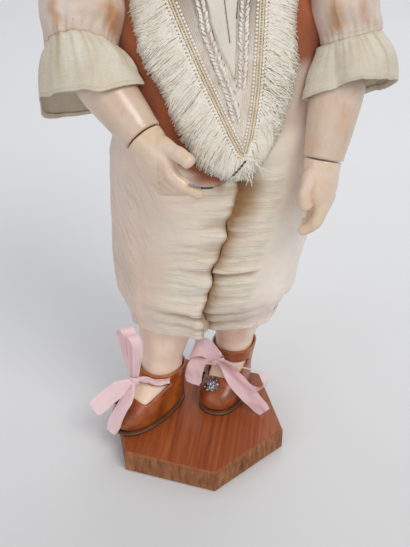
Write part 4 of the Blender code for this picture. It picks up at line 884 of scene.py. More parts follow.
def romper_tones(side, height, run, ring, fine, near):
    """What is painted on one level: the lining's rosy tint, the gathers, painted shade in the hollows, along
    the seam and in the apricot band, slubs, and a patch of painted light.
    """
    y = ring[:, 1]
    patch = smooth(0.1, 0.7, noise(run / 30, height / 42, side, seed=9))
    tint_and_shade = 0.05 + 0.6 * smooth(18, 40, run) - 0.4 * patch - (0.2 if side > 0 else 0.0)
    tint_and_shade = np.clip(tint_and_shade + 0.4 * smooth(120, 104, height), 0, 1)
    # The seam gets a painted shadow, and on the doll's left half so does the recess beside it
    seam = 0.35 * bell(run, 0, 1.3)
    slub = smooth(34, 50, run) * smooth(112, 82, run) * smooth(100, 125, height) * smooth(205, 180, height)
    pale = np.zeros(len(run))
    if side > 0:
        recess = 0.2 + 0.75 * smooth(156, 182, height)
        seam = seam + bell(run, 0, 14.0, 4) * recess * smooth(206, 198, height)
        # Painted light: a paler patch on the front of the doll's left side, where the arm shades it
        pale = 0.8 * smooth(22, 42, run) * smooth(CENTRE_Y + 24, CENTRE_Y - 4, y) * smooth(250, 215, height)
    # Painted shade in the hollows of the folds and along the seam; on the doll's right leg also a band of
    # painted shade over a fold
    crease_shade = np.clip(-0.32 * fine - 0.1, 0, 0.55) + seam * below_join(height)
    if side < 0:
        crease_shade = crease_shade + 0.16 * bell(height, 128, 20) * smooth(12, 34, run)
    return {"tint_and_shade": tint_and_shade, "gather": near * below_join(height), "crease_shade": np.clip(crease_shade, 0, 0.95),
            "painted_apricot_shade": shade_beside_fringe(height, ring[:, 0] - CENTRE_X, y),
            "slub": slub * (0.9 if side < 0 else 0.25), "pale": pale}


def romper_row(side, height, count):
    """One level of half the romper, from the front seam round the side to the back, and its tones."""
    ring, out, turn = romper_outline(side, height, count)
    run = run_along(ring)
    fine, near = seam_folds(side, height, run)
    move = fine
    for fold in slack_folds(side, height, run, turn):
        move = move + fold
    return ring + out * move[:, None], romper_tones(side, height, run, ring, fine, near)


def inner_row(side, height, start, stop, count):
    """The inside of a leg, from the back seam to the front seam, clear of the wire stand."""
    t = (ROMPER_TOP - height) / (ROMPER_TOP - HEM_Z)
    y = start[1] + (stop[1] - start[1]) * np.linspace(0, 1, count + 2)[1:-1]
    behind = smooth(CENTRE_Y - THIGH_RADIUS - 13.0, CENTRE_Y - THIGH_RADIUS - 5.0, y)
    wire = np.maximum(smooth(STAND_Y - 11.0, STAND_Y - 5.0, y), 1.0 - smooth(0.3, 0.4, t)) * behind
    x = seam_x(height) * (1 - behind) + CENTRE_X * behind
    x = x + side * (LOOSE + (BACK_GAP - LOOSE) * wire)
    return np.column_stack([x, y, np.full(count, float(height))])


# The legs' inner walls get the rosy tint and painted shade, as they lie between the legs
WALL_TONES = {"tint_and_shade": 0.4, "crease_shade": 0.35}


def romper_leg_rows(side, heights, outer=150, inner=22):
    """Levels of one leg with its inner wall, and their tones."""
    rows = []
    tones = []
    for height in heights:
        ring, tone = romper_row(side, height, outer)
        wall = inner_row(side, height, ring[-1], ring[0], inner)
        rows.append(np.vstack([ring, wall]))
        tones.append({name: np.concatenate([values, np.full(inner, WALL_TONES.get(name, 0.0))])
                      for name, values in tone.items()})
    return np.array(rows), tones


def hem_rows(side, last):
    """The hem turned under and drawn in to the leg."""
    rows = []
    middle = shin_middle(side, HEM_Z + 2)
    for t in np.linspace(0.08, 1.0, 9):
        ring = last.copy()
        spoke = ring[:, :2] - middle
        far = np.linalg.norm(spoke, axis=1)
        goal = CALF_RADIUS + 4.5 + 0.8 * np.cos(np.arange(len(ring)) * 1.9)
        size = far + (goal - far) * smooth(0, 1, t)
        ring[:, :2] = middle + spoke * (size / far)[:, None]
        ring[:, 2] = HEM_Z - 1.6 * math.sin(math.pi * min(1, t * 1.4)) + 5.0 * smooth(0.3, 1.0, t)
        rows.append(ring)
    return rows


def paint(piece, name, values):
    """Store one value for each point, for a look to read."""
    layer = piece.data.attributes.new(name, "FLOAT", "POINT")
    layer.data.foreach_set("value", np.asarray(values, np.float32).ravel())


def painted(name, grid, tones):
    piece = surface(name, grid, ROMPER, True)
    for tone in tones[0]:
        paint(piece, tone, np.array([row[tone] for row in tones]))
    return piece


def make_romper():
    for side, mark in SIDES.items():
        grid, tones = romper_leg_rows(side, np.linspace(JOIN_Z, SPLIT_Z, 100))
        piece = painted("romper_upper_" + mark, grid, tones)
        start, end = [(0, 0, height) for height in HIP_BLEND[side]]
        bend(piece, "body", "thigh_group_" + mark, start, end, "satin", "romper_leg_" + mark)
        grid, tones = romper_leg_rows(side, np.linspace(SPLIT_Z, HEM_Z, 62))
        turned = hem_rows(side, grid[-1])
        grid = np.concatenate([grid, turned])
        front = smooth(CENTRE_Y + 24, CENTRE_Y - 6, grid[:, :, 1])
        grid[:, :, 2] -= HEM_SAG * front * smooth(118, 95, grid[:, :, 2])
        piece = painted("romper_lower_" + mark, grid, tones + tones[-1:] * len(turned))
        start, end = [(0, 0, height) for height in KNEE_BLEND]
        bend(piece, "thigh_group_" + mark, "lower_leg_group_" + mark, start, end, "satin",
             "romper_leg_" + mark)


def make_bodice():
    rows = []
    tones = []
    for height in np.concatenate([np.arange(JOIN_Z, 340, 2.0), np.linspace(340, ROMPER_TOP + 148.8, 8)]):
        right, tone = romper_row(-1, height, 90)
        left, other = romper_row(1, height, 90)
        rows.append(np.vstack([right, left[::-1]]))
        tones.append({name: np.concatenate([tone[name], other[name][::-1]]) for name in tone})
    piece = painted("dress_bodice", np.array(rows), tones)
    with edited(piece) as work:
        holes = []
        for face in work.faces:
            spot = face.calc_center_median() / MM
            off = math.hypot(spot.y - CENTRE_Y, spot.z - SHOULDER_Z)
            if abs(spot.x - CENTRE_X) > 30 and off < ARMHOLE - 1.0:
                holes.append(face)
        bmesh.ops.delete(work, geom=holes, context="FACES")
    dress(piece, "body", "satin", "romper_bodice")


# Sleeves and cuffs

# Where each sleeve is drawn in, and its frill's hem: middle, half sizes, height, slopes across and back
GATHER = {-1: ((-57.8, 1.0), (18.8, 21.0), 257.5, (0.0, -0.82)),
          1: ((79.7, -2.0), (14.5, 16.5), 266.3, (0.25, -0.30))}
HEM = {-1: ((-52.7, -2.0), (28.7, 26.0), 232.0, (0.16, -0.58)),
       1: ((84.0, -3.0), (22.0, 25.0), 238.5, (0.17, -0.52))}
# How far a sleeve's inner and outer sides move where it puffs
SQUEEZE = {-1: (-4.5, 0.0), 1: (5.0, -4.0)}
# The sleeve's cap in the armhole: distance inward and radius
SLEEVE_CAP = ((12.5, 15.5), (9.0, 16.4), (5.0, 17.8), (2.0, 19.3))
# The sleeve's end, turned in: size and rise
SLEEVE_LIP = ((0.985, -0.7), (0.955, -0.5), (0.93, 1.2), (0.92, 4.0))
SLEEVE_ROUND = 44.0
# A cuff: roundness of its hem's slope, drop on the inner side, room round the forearm
CUFF_SHAPE = {-1: (0.5, 0.0, 3.1), 1: (1.0, 3.5, 1.6)}
CUFF_START = 0.93
# Bands of painted fold shade, tan where the arm shows through a sleeve: share of the way out, width, depth
SHADES = {-1: ((0.10, 0.10, 0.95), (0.72, 0.07, 0.85)), 1: ((0.36, 0.09, 0.8), (0.65, 0.06, 0.5))}


def sleeve_grid(side, count=132):
    """A sleeve from its cap in the armhole over the puff to its turned end."""
    angles = turns(count)
    c = np.cos(angles)
    s = np.sin(angles)
    pivot_z = SHOULDER_Z - ARMHOLE - 2.2
    rings = []
    for inward, radius in SLEEVE_CAP:
        x = np.full(count, CENTRE_X + side * (SLEEVE_START - inward))
        rings.append(np.column_stack([x, CENTRE_Y + radius * s, SHOULDER_Z + radius * c]))
    for turn in np.linspace(0, 60, 13):
        share = turn / 90
        swell = math.sin(math.radians(turn * 1.6))
        low = 1.6 - 0.9 * share
        high = 2 * ARMHOLE + 2.4 + 4.5 * swell
        deep = ARMHOLE + 0.6 + 4.0 * share + 1.5 * swell
        run = (low + high) / 2 + (high - low) / 2 * c
        way = math.radians(turn)
        fold = noise(angles * 3.2, share * 2, side * 2.0, seed=11)
        fold = fold - 0.5 * np.abs(noise(angles * 7.0, share, side, seed=12))
        ridge = fold * smooth(0, 0.3, share)
        x = CENTRE_X + side * (SLEEVE_START + run * math.sin(way))
        y = CENTRE_Y + (deep + ridge) * s - 2.5 * share
        z = pivot_z + run * math.cos(way) + 0.8 * ridge * c * math.cos(way)
        rings.append(np.column_stack([x, y, z]))
    (end_x, end_y), (end_wide, end_deep), end_z, (lean_x, lean_y) = GATHER[side]
    reach = abs(end_x - CENTRE_X)
    for t in np.linspace(0.06, 1.0, 34):
        draw = smooth(0.45, 1.0, t)
        puff = smooth(0.0, 0.45, t)
        near = SLEEVE_START + 0.9 + SQUEEZE[side][0] * puff
        near = near + (reach - end_wide - near) * draw
        far = SLEEVE_START + SLEEVE_ROUND + SQUEEZE[side][1] * puff
        far = far + (reach + end_wide - far) * draw
        middle_y = CENTRE_Y - 2.5 + (end_y - CENTRE_Y + 2.5) * t
        deep = 23.5 + 1.5 * math.sin(math.pi * t)
        deep = deep + (end_deep - deep) * draw
        long_fold = noise(angles * 2.7, t * 1.1, side * 2.0, seed=13)
        sharp = 1 - 2 * np.abs(noise(angles * 4.6 + t * 0.4, t * 0.8, side, seed=14))
        gather = noise(angles * 17, t * 1.5, side, seed=15)
        ruck = long_fold + 1.3 * sharp * smooth(0.05, 0.8, t) + 1.5 * gather * smooth(0.7, 1.0, t) - 0.9
        half = (far - near) / 2 + ruck * (0.25 + 0.75 * (c > -0.6))
        x = CENTRE_X + side * ((near + far) / 2 + half * c)
        y = middle_y + (deep + ruck) * s
        tilt = 9.0 * (1 - t) * (x - CENTRE_X - side * SLEEVE_START) * side / 45.0
        tilt = tilt + smooth(0.1, 1.0, t) * (lean_x * (x - end_x) + lean_y * (y - end_y))
        z = pivot_z - 1.0 + (end_z - pivot_z + 1.0) * t + tilt - 2.0 * (1 - t)
        rings.append(np.column_stack([x, y, z]))
    last = rings[-1]
    for size, rise in SLEEVE_LIP:
        ring = last.mean(0) + (last - last.mean(0)) * size
        ring[:, 2] = last[:, 2] + rise
        rings.append(ring)
    return np.array(rings)


def clear_of_bodice(points, room):
    """Push points out of the bodice."""
    for p in points:
        middle, back, wide, deep = bodice_size(p[2])
        wide = wide + room + fullness(1 if p[0] > middle else -1, p[2])
        deep = deep + room
        share = (abs(p[0] - middle) / wide) ** SQUARE + (abs(p[1] - back) / deep) ** SQUARE
        if share < 1.0:
            grow = share ** (-1 / SQUARE)
            p[0] = middle + (p[0] - middle) * grow
            p[1] = back + (p[1] - back) * grow


def clear_of_forearm(points, side, room):
    """Push points out of the forearm and its elbow ball."""
    way = unit(REACH[side])
    for p in points:
        run = np.dot(p - ELBOW[side], way)
        off = p - ELBOW[side] - way * run
        need = (FOREARM_RADIUS if run > 0 else ELBOW_BALL + 1.0) + room
        far = np.linalg.norm(off)
        if far < need and run > -ELBOW_BALL:
            p[:2] += (off / far * (need - far))[:2] * 1.3


def cuff_grid(side, top):
    """A gathered frill from inside the sleeve's end to its hem, and the share of the way down each ring."""
    (top_x, top_y), (top_wide, top_deep), top_z, (lean_x, lean_y) = GATHER[side]
    (hem_x, hem_y), (hem_wide, hem_deep), hem_z, (slope_x, slope_y) = HEM[side]
    angles = turns(len(top))
    c = np.cos(angles)
    s = np.sin(angles)
    flute = noise(angles * 3.4, 0.0, side * 3.0, seed=21) + 0.6 * noise(angles * 8.5, 0.0, side, seed=22)
    pinch = noise(angles * 19, 0.0, side, seed=15) + 0.5 * noise(angles * 31, 0.0, side, seed=23)
    flat, drop, room = CUFF_SHAPE[side]
    middle = top.mean(0)
    rings = []
    shares = []
    for t in np.concatenate([[-0.1], np.linspace(0, 1, 34)]):
        down = max(t, 0.0)
        ease = 1 - (1 - down) ** 2.2
        wide = top_wide * CUFF_START + (hem_wide - top_wide * CUFF_START) * ease
        deep = top_deep * CUFF_START + (hem_deep - top_deep * CUFF_START) * ease
        size = 1.0 + 0.05 * down * flute + 0.05 * pinch * (1 - down) ** 1.3 * smooth(0.0, 0.06, t)
        x = top_x + (hem_x - top_x) * ease + side * wide * size * c
        y = top_y + (hem_y - top_y) * ease + deep * size * s
        high = top_z + lean_x * (x - top_x) + lean_y * (y - top_y)
        low = hem_z + slope_x * (x - hem_x) + slope_y * deep * size * signed_power(s, flat)
        low = low - drop * smooth(0.7, 1.0, -c)
        ring = np.column_stack([x, y, high + (low - high) * t + 0.8 * down * flute])
        tie = 1 - smooth(0.0, 0.2, t)
        narrow = middle + (top - middle) * (0.975, 0.975, 1.0)
        ring = ring + (narrow - ring) * tie
        if t < 0:
            ring[:, 2] += 2.0
        if t > 0.1:
            clear_of_forearm(ring, side, 0.5 + room * smooth(0.1, 0.5, t))
            clear_of_bodice(ring, 1.6)
        rings.append(ring)
        shares.append(down)
    edge = rings[-1]
    middle = edge.mean(0)
    fold = edge + (middle - edge) * (0.02, 0.02, 0.0)
    fold[:, 2] += 0.3
    back = rings[-4] + (middle - rings[-4]) * (0.03, 0.03, 0.0)
    return np.array(rings + [fold, back]), np.array(shares + [1.0, 0.94])


def make_sleeves():
    for side, mark in SIDES.items():
        grid = sleeve_grid(side)
        piece = surface("puff_sleeve_" + mark, grid, SLEEVE, True)
        rows = np.linspace(0, 1, len(grid))[:, None]
        angles = turns(grid.shape[1])
        out = (grid[:, :, 0] - CENTRE_X) * side - SLEEVE_START
        out = np.clip(out, 0, SLEEVE_ROUND) / SLEEVE_ROUND
        out = out + 0.05 * noise(rows * 7.0, angles * 0.7, side, seed=16)
        # Painted shade in the sleeve's folds, in tan bands where the arm shows through
        shade = sum(depth * bell(out, spot, wide) for spot, wide, depth in SHADES[side])
        shade = shade * smooth(0.98, 0.75, rows) * smooth(0.40, 0.62, rows)
        shade = shade * smooth(0.3, -0.4, np.sin(angles))
        tone = -0.12 + 0.2 * noise(angles * 2.7, rows * 1.1, side * 2.0, seed=13) + shade
        paint(piece, "tint_and_shade", np.clip(tone, 0, 1))
        dress(piece, "upper_arm_group_" + mark, "satin", "sleeve_" + mark)
        make_cuff(side, mark, grid[-5])


def make_cuff(side, mark, top):
    rings, share = cuff_grid(side, top)
    cuff = surface("gauze_cuff_" + mark, rings, GAUZE, True)
    hem = 0.5 * bell(share, 0.95, 0.012) + 0.5 * bell(share, 0.05, 0.03)
    # The pinch lines are painted shade of the gathers' folds, running down from the gathered top
    pinch = np.clip(0.9 * noise(turns(len(top)) * 13, 0.0, side, seed=24) - 0.15, 0, 1)
    pinch = np.outer(bell(share, 0, 0.75) * smooth(0.0, 0.08, share), pinch)
    paint(cuff, "hem", np.clip(hem[:, None] + 1.2 * pinch, 0, 1))
    start = np.array([*GATHER[side][0], GATHER[side][2]])
    stop = np.array([*HEM[side][0], HEM[side][2]])
    bend(cuff, "upper_arm_group_" + mark, "forearm_group_" + mark, (start * 0.85 + stop * 0.15) * MM,
         stop * MM, "gauze", "cuff_" + mark)


# Arms and hands

def make_arms():
    end = FOREARM_LENGTH
    socket = math.sqrt((ELBOW_BALL + GAP) ** 2 - 64)
    rows = [(3.0, 10.9), (8.0, socket), (9.6, 9.4), (11.6, 13.5), (13.6, 18.0), (FOREARM_RADIUS, 23.0),
            (FOREARM_RADIUS - 0.5, 32.0), (WRIST_RADIUS + 1.5, end - 14.0), (WRIST_RADIUS + 0.1, end - 4.0),
            (WRIST_RADIUS, end - 1.4), (WRIST_RADIUS - 0.6, end - 0.5), (8.2, end - 0.7), (5.0, end - 5.0)]
    for side, mark in SIDES.items():
        piece = lathe("arm_lower_" + mark, rows, ELBOW[side], unit(REACH[side]), SKIN_ARM, 72, 90)
        dress(piece, "forearm_group_" + mark, "composition", "forearm_" + mark)


# The way each hand points and the way to its thumb
HAND_WAYS = {-1: ((0.45, -0.42, -0.79), (0.48, -0.66, 0.58)),
             1: ((0.06, -0.12, -0.99), (-0.36, -0.92, 0.09))}
KNUCKLE = 20.0
# The palm: distance from the wrist, half width, half thickness
PALM_ROWS = ((0.4, 10.2, 10.0), (4.0, 10.5, 9.6), (9.0, 12.2, 9.0), (15.0, 13.4, 8.2),
             (KNUCKLE, 13.0, 6.8), (KNUCKLE + 4.0, 11.4, 4.8))
# Little finger to forefinger: place across the hand, length, spread; then how each part is bent
FINGERS = ((-9.2, 17.5, -0.10), (-3.1, 20.5, -0.03), (3.2, 22.0, 0.05), (9.3, 23.5, 0.17))
FINGER_PARTS = (0.28, 0.28, 0.24, 0.2)
CURLS = {-1: ((0.25, 0.75, 1.15, 1.35), (0.22, 0.65, 1.05, 1.25), (0.18, 0.55, 0.95, 1.1),
              (0.10, 0.40, 0.62, 0.72)),
         1: ((0.1, 0.6, 1.1, 1.4), (0.1, 0.55, 1.05, 1.35), (0.1, 0.5, 1.0, 1.3), (0.05, 0.45, 0.9, 1.2))}
FINGER_STEPS = 26
# The thumb's line: along the hand, towards the thumb's side, towards the palm
THUMBS = {-1: ((8.0, 6.2, 1.9), (12.0, 12.0, 2.2), (16.5, 17.5, 2.6), (21.5, 21.5, 3.2), (25.5, 23.0, 3.8)),
          1: ((5.4, 6.2, 1.9), (9.0, 9.6, 4.4), (15.0, 12.4, 6.6), (20.5, 13.2, 6.6), (24.4, 12.8, 5.4))}


def hand_axes(side):
    way, thumb = HAND_WAYS[side]
    way = unit(way)
    thumb = unit(np.asarray(thumb) - way * np.dot(thumb, way))
    return way, thumb, np.cross(thumb, way) * (1 if side < 0 else -1)


def finger_path(side, n):
    way, thumb, palm = hand_axes(side)
    across, length, spread = FINGERS[n]
    place = ELBOW[side] + unit(REACH[side]) * FOREARM_LENGTH + way * KNUCKLE + thumb * across * 0.96 - palm
    path = [place]
    for k, curl in enumerate(CURLS[side][n]):
        step = way * math.cos(curl) + palm * math.sin(curl) + thumb * spread * (1 if k < 2 else 0.4)
        place = place + unit(step) * length * FINGER_PARTS[k]
        path.append(place)
    return np.array(path)


def rounded_tip(size, t):
    """A finger's thickness, rounded off at its tip."""
    return size * np.sqrt(np.clip(1 - ((t - 0.93) / 0.075) ** 2, 0.02, 1)) ** (t > 0.93)


def finger_parts(side, n):
    """One finger with its nail."""
    way, thumb, palm = hand_axes(side)
    path = finger_path(side, n)
    path = curve_through(np.vstack([path[0] - way * 7 + palm * 0.6, path]), FINGER_STEPS)
    t = np.linspace(0, 1, FINGER_STEPS)
    size = 3.6 - 0.6 * smooth(0.5, 0.95, t) + 0.22 * bell(t, 0.62, 0.07)
    size = size + 0.2 * bell(t, 0.40, 0.08)
    tip = path[-4] - palm * 1.9
    nail = unit(path[-1] - path[-6])
    return [tube_part(path, rounded_tip(size, t), 14, thumb),
            tube_part([tip - nail * 1.6, tip, tip + nail * 1.5], (1.1, 1.5, 1.0), 10, palm, 1.3)]


def thumb_part(side, start):
    way, thumb, palm = hand_axes(side)
    path = [start + way * a + thumb * b + palm * c for a, b, c in THUMBS[side]]
    path = curve_through([path[0] - thumb * 3 - way * 2] + path, FINGER_STEPS)
    t = np.linspace(0, 1, FINGER_STEPS)
    size = 6.2 - 2.4 * smooth(0.15, 0.6, t) + 0.3 * bell(t, 0.68, 0.07)
    return tube_part(path, rounded_tip(size, t), 14, palm)


def make_hands():
    angles = turns(40)
    for side, mark in SIDES.items():
        way, _, palm = hand_axes(side)
        reach = unit(REACH[side])
        start = ELBOW[side] + reach * FOREARM_LENGTH
        rings = []
        for run, wide, thick in curve_through(PALM_ROWS, 26):
            turn = float(smooth(0.0, 9.0, run))
            across, up = axes_along(unit(reach * (1 - turn) + way * turn), palm)[:2]
            place = start + reach * min(run, 4.0) + way * max(run - 4.0, 0.0)
            place = place + np.outer(np.cos(angles), across) * wide
            rings.append(place + np.outer(np.sin(angles), up) * thick)
        parts = [capped_part(np.array(rings))]
        for n in range(len(FINGERS)):
            parts += finger_parts(side, n)
        hand = join_parts("hand_shape_" + mark, parts + [thumb_part(side, start)], SKIN_HAND)
        remesh = hand.modifiers.new("one skin", "REMESH")
        remesh.mode = "VOXEL"
        remesh.voxel_size = 0.00055
        ease = hand.modifiers.new("ease", "SMOOTH")
        ease.factor = 0.6
        ease.iterations = 7
        bake(hand)
        if not hand.data.materials:
            hand.data.materials.append(SKIN_HAND)
        dress(hand, "hand_group_" + mark, "composition", "hand_" + mark)


# Legs and shoes

# Height above the sole, and shares of the shoe's toe, heel and half width there
SHOE_ROWS = curve_through(((0.0, 0.94, 0.91, 0.88), (3.0, 1.0, 0.99, 0.99), (7.0, 0.99, 1.0, 1.0),
                           (11.0, 0.92, 0.99, 0.97), (15.0, 0.78, 0.97, 0.935), (19.0, 0.63, 0.945, 0.915),
                           (24.0, 0.475, 0.92, 0.92), (30.0, 0.385, 0.91, 0.97),
                           (36.0, 0.355, 0.905, 1.03)), 120)
# The cut-out in the shoe's side: share of the toe's length, height
WINDOW = ((0.10, 23.5), (0.54, 26.4), (0.70, 22.0), (0.61, 15.0))
# Height above the shoe's collar and swelling of the calf
LEG_ROWS = ((9.0, 1.6), (21.0, 4.6), (33.0, 5.8), (44.0, 5.2), (53.0, 3.2))
LEG_TALL = 61.0
LEG_SWELL = 5.8
SHIN_TOP = 12.5


def foot_axes(side):
    """The way a foot points and the way across it."""
    turn = math.radians(TURN[side])
    way = np.array([-math.sin(turn), -math.cos(turn), 0.0])
    return way, np.array([-way[1], way[0], 0.0])


def shoe_size(up):
    return [float(np.interp(up, SHOE_ROWS[:, 0], SHOE_ROWS[:, k])) for k in (1, 2, 3)]


def foot_ring(side, up, inset=0.0, count=80, lift=None):
    """One level of the shoe's outline, or of what lies inside it."""
    toe, heel, wide = shoe_size(up)
    toe = toe * SHOE_TOE - inset
    heel = heel * SHOE_HEEL - inset
    wide = wide * SHOE_WIDE - inset
    way, across = foot_axes(side)
    angles = turns(count)
    c = np.cos(angles)
    s = np.sin(angles)
    along = (toe - heel) / 2 + (toe + heel) / 2 * signed_power(c, 0.92)
    stretch = np.clip((toe - heel) / 26.0, 0.0, 1.0)
    span = wide * signed_power(s, 0.85) * (1 + 0.10 * stretch * c - 0.10 * stretch * (1 - c) / 2)
    points = np.outer(along, way) + np.outer(span, across)
    points[:, :2] += ANKLE[side]
    points[:, 2] = SHOE_FLOOR + up if lift is None else lift
    return points


def shin_middle(side, height):
    share = smooth(SHOE_FLOOR + COLLAR_UP, KNEE_Z - KNEE_BALL, height)
    return ANKLE[side] * (1 - share) + KNEE[side] * share


def shin_ring(side, height, radius, count=80):
    way, across = foot_axes(side)
    angles = turns(count)
    points = radius * (np.outer(np.cos(angles), way) + np.outer(np.sin(angles), across))
    points[:, :2] += shin_middle(side, height)
    points[:, 2] = height
    return points


def make_legs():
    skin = LEATHER + GAP + 0.5
    for side, mark in SIDES.items():
        rings = [foot_ring(side, up, skin) for up in (0.7, 1.5, *np.arange(3, COLLAR_UP - 3, 1.5))]
        low = SHOE_FLOOR + COLLAR_UP
        top = KNEE_Z - math.sqrt((KNEE_BALL + GAP) ** 2 - SHIN_TOP ** 2)
        rows = [(low + (top - low) * rise / LEG_TALL,
                 ANKLE_RADIUS + swell * (CALF_RADIUS - ANKLE_RADIUS) / LEG_SWELL)
                for rise, swell in LEG_ROWS]
        rows = curve_through([(low, ANKLE_RADIUS + 0.2)] + rows + [(top, SHIN_TOP)], 40)
        foot = foot_ring(side, COLLAR_UP, skin)
        for height, radius in rows:
            round_leg = shin_ring(side, height, radius)
            share = float(smooth(low - 1, low + 12, height))
            level = foot.copy()
            level[:, 2] = height
            rings.append(level * (1 - share) + round_leg * share)
        piece = capped("leg_shape_" + mark, np.array(rings), SKIN_LEG)
        dress(piece, "lower_leg_group_" + mark, "composition", "lower_leg_" + mark)


def rounded(corners, size, steps=5):
    """A corner outline with rounded corners."""
    corners = [np.asarray(c, float) for c in corners]
    line = []
    for k, here in enumerate(corners):
        before = corners[k - 1]
        after = corners[(k + 1) % len(corners)]
        first = here + (before - here) * min(0.45, size / np.linalg.norm(before - here))
        last = here + (after - here) * min(0.45, size / np.linalg.norm(after - here))
        for t in np.linspace(0, 1, steps):
            line.append(first * (1 - t) ** 2 + 2 * here * t * (1 - t) + last * t ** 2)
    return np.array(line)


def make_shoes():
    for side, mark in SIDES.items():
        way, across = foot_axes(side)
        middle = np.array([*ANKLE[side], SHOE_FLOOR])
        ups = np.concatenate([[GAP, 1.0, 2.0], np.arange(3, COLLAR_UP - 0.5, 1.0),
                              [COLLAR_UP - 0.3, COLLAR_UP]])
        outer = [foot_ring(side, up, 0.0 if up < COLLAR_UP else 0.35) for up in ups]
        inner = [foot_ring(side, up, LEATHER) for up in ups]
        grid = np.array(outer + inner[::-1])
        upper = make_mesh("shoe_shape_" + mark, grid.reshape(-1, 3), loop_faces(*grid.shape[:2]), HIDE)
        with edited(upper) as work:
            bmesh.ops.recalc_face_normals(work, faces=work.faces)
        line = rounded([(ahead, up / SHOE_TOE) for ahead, up in WINDOW], 0.06) * SHOE_TOE
        rings = [[middle + way * a + across * far + (0, 0, b) for a, b in line] for far in (-40.0, 40.0)]
        cut(upper, [capped("window tool", np.array(rings), None)])
        body = "lower_leg_group_" + mark
        dress(upper, body, "shoe_leather", "shoe_upper_" + mark)
        rows = ((0.3, SOLE_LIP - 0.6), (0.7, SOLE_LIP), (1.5, SOLE_LIP), (2.0, SOLE_LIP - 0.15),
                (SOLE_THICK, SOLE_LIP - 0.5))
        rings = [foot_ring(side, 5.0, -lip, 80, BASE_THICK + GAP - 0.3 + up) for up, lip in rows]
        sole = capped("sole_shape_" + mark, np.array(rings), SOLE)
        dress(sole, body, "sole_leather", "shoe_sole_" + mark)
        make_button(side, mark, body)


def bead_part(centre, radius, rings, count, flat=1.0, axes=None):
    """A bead of few faces, or a flattened one with its own axes."""
    axes = np.eye(3) if axes is None else axes
    points = []
    for k in range(rings + 1):
        lat = math.pi * k / rings
        for i in range(count):
            lon = 2 * math.pi * i / count
            local = np.array([math.sin(lat) * math.cos(lon), math.sin(lat) * math.sin(lon), math.cos(lat)])
            points.append(centre + (local * radius * (1.0, 1.0, flat)) @ axes)
    return np.array(points), grid_faces(rings + 1, count, True)


def make_button(side, mark, body):
    """A cut-steel rosette of small faceted beads on a domed disc."""
    way, across = foot_axes(side)
    slope = unit(way * 4.0 + np.array([0, 0, 1]) * SHOE_TOE * 0.14 + across * 0.16 * BUTTON_ASIDE)
    toe = shoe_size(BUTTON_UP)[0] * SHOE_TOE
    place = np.array([*ANKLE[side], SHOE_FLOOR]) + way * toe + across * BUTTON_ASIDE + (0, 0, BUTTON_UP)
    place = place + slope * 0.55
    across = unit(across - slope * np.dot(across, slope))
    up = np.cross(slope, across)
    axes = np.array([across, up, slope])
    parts = [bead_part(place + slope * 0.3, 4.6, 6, 16, 0.22, axes)]
    for ring, number, size, lift in ((4.4, 9, 1.35, 0.8), (2.3, 5, 1.2, 1.3)):
        for k in range(number):
            angle = 2 * math.pi * (k + 0.3 * ring) / number
            spot = place + (across * math.cos(angle) + up * math.sin(angle)) * ring + slope * lift
            parts.append(bead_part(spot, size, 4, 6, 0.7, axes))
    parts.append(bead_part(place + slope * 1.7, 1.3, 4, 6, 0.8, axes))
    piece = join_parts("button_shape_" + mark, parts, FACET)
    piece.data.polygons.foreach_set("use_smooth", np.zeros(len(piece.data.polygons), bool))
    dress(piece, body, "cut_steel", "shoe_button_" + mark)


# Ribbons

# Each bow's loops: tip from the knot, half width of the loop, share of the ribbon's width
LOOPS = {-1: (((-4, 0, 40), 4.5, 0.85), ((1, -6, 38), 4.0, 0.75)),
         1: (((-16, -5, 13), 5.0, 1.4), ((29, -15, -9), 7.0, 1.6))}
# Each bow's tails: places from the knot
TAILS = {-1: (((-4, -9, -7), (-10, -17, -15), (-15, -22, -26)),
              ((-9, -5, -3), (-17, -9, -8), (-26, -14, -14))),
         1: (((-10, -8, 6), (-15.5, -11, 2), (-18, -13, -10)),
             ((8, -8, -7), (20, -16, -18), (30, -21, -28)))}
STRIP_ROWS = 60
STRIP_ACROSS = 9


def strip_grid(path, wide, flat, seed):
    """A silk strip along a path, with a soft ripple."""
    path = curve_through(path, STRIP_ROWS)
    t = np.linspace(0, 1, STRIP_ROWS)
    s = np.linspace(-1, 1, STRIP_ACROSS)
    grid = []
    for k, way in enumerate(headings(path)):
        over = unit(np.asarray(flat, float) - way * np.dot(flat, way))
        up = np.cross(way, over)
        ripple = 0.7 * noise(s * 1.6, t[k] * 7.0, seed=seed)
        ripple = ripple + 0.5 * (s ** 2 - 0.4) * math.sin(5 * t[k] + seed)
        flat_row = path[k] + np.outer(s * wide[k] / 2, over)
        grid.append(flat_row + np.outer(ripple * min(1.0, wide[k] / 5), up))
    return np.array(grid)


def knot_grid(knot, way, across):
    """The band round the knot."""
    s = np.linspace(-1, 1, STRIP_ACROSS)[:, None]
    wrap = []
    for a in np.linspace(0, 2 * np.pi, 25):
        spoke = way * math.cos(a) * 3.0 + across * math.sin(a) * 3.6
        wrap.append(knot + spoke * (1 - 0.16 * (s * s)) + np.array([0, 0, 1]) * s * 2.6
                    + across * 0.25 * np.sin(5 * s + a))
    return np.array(wrap)


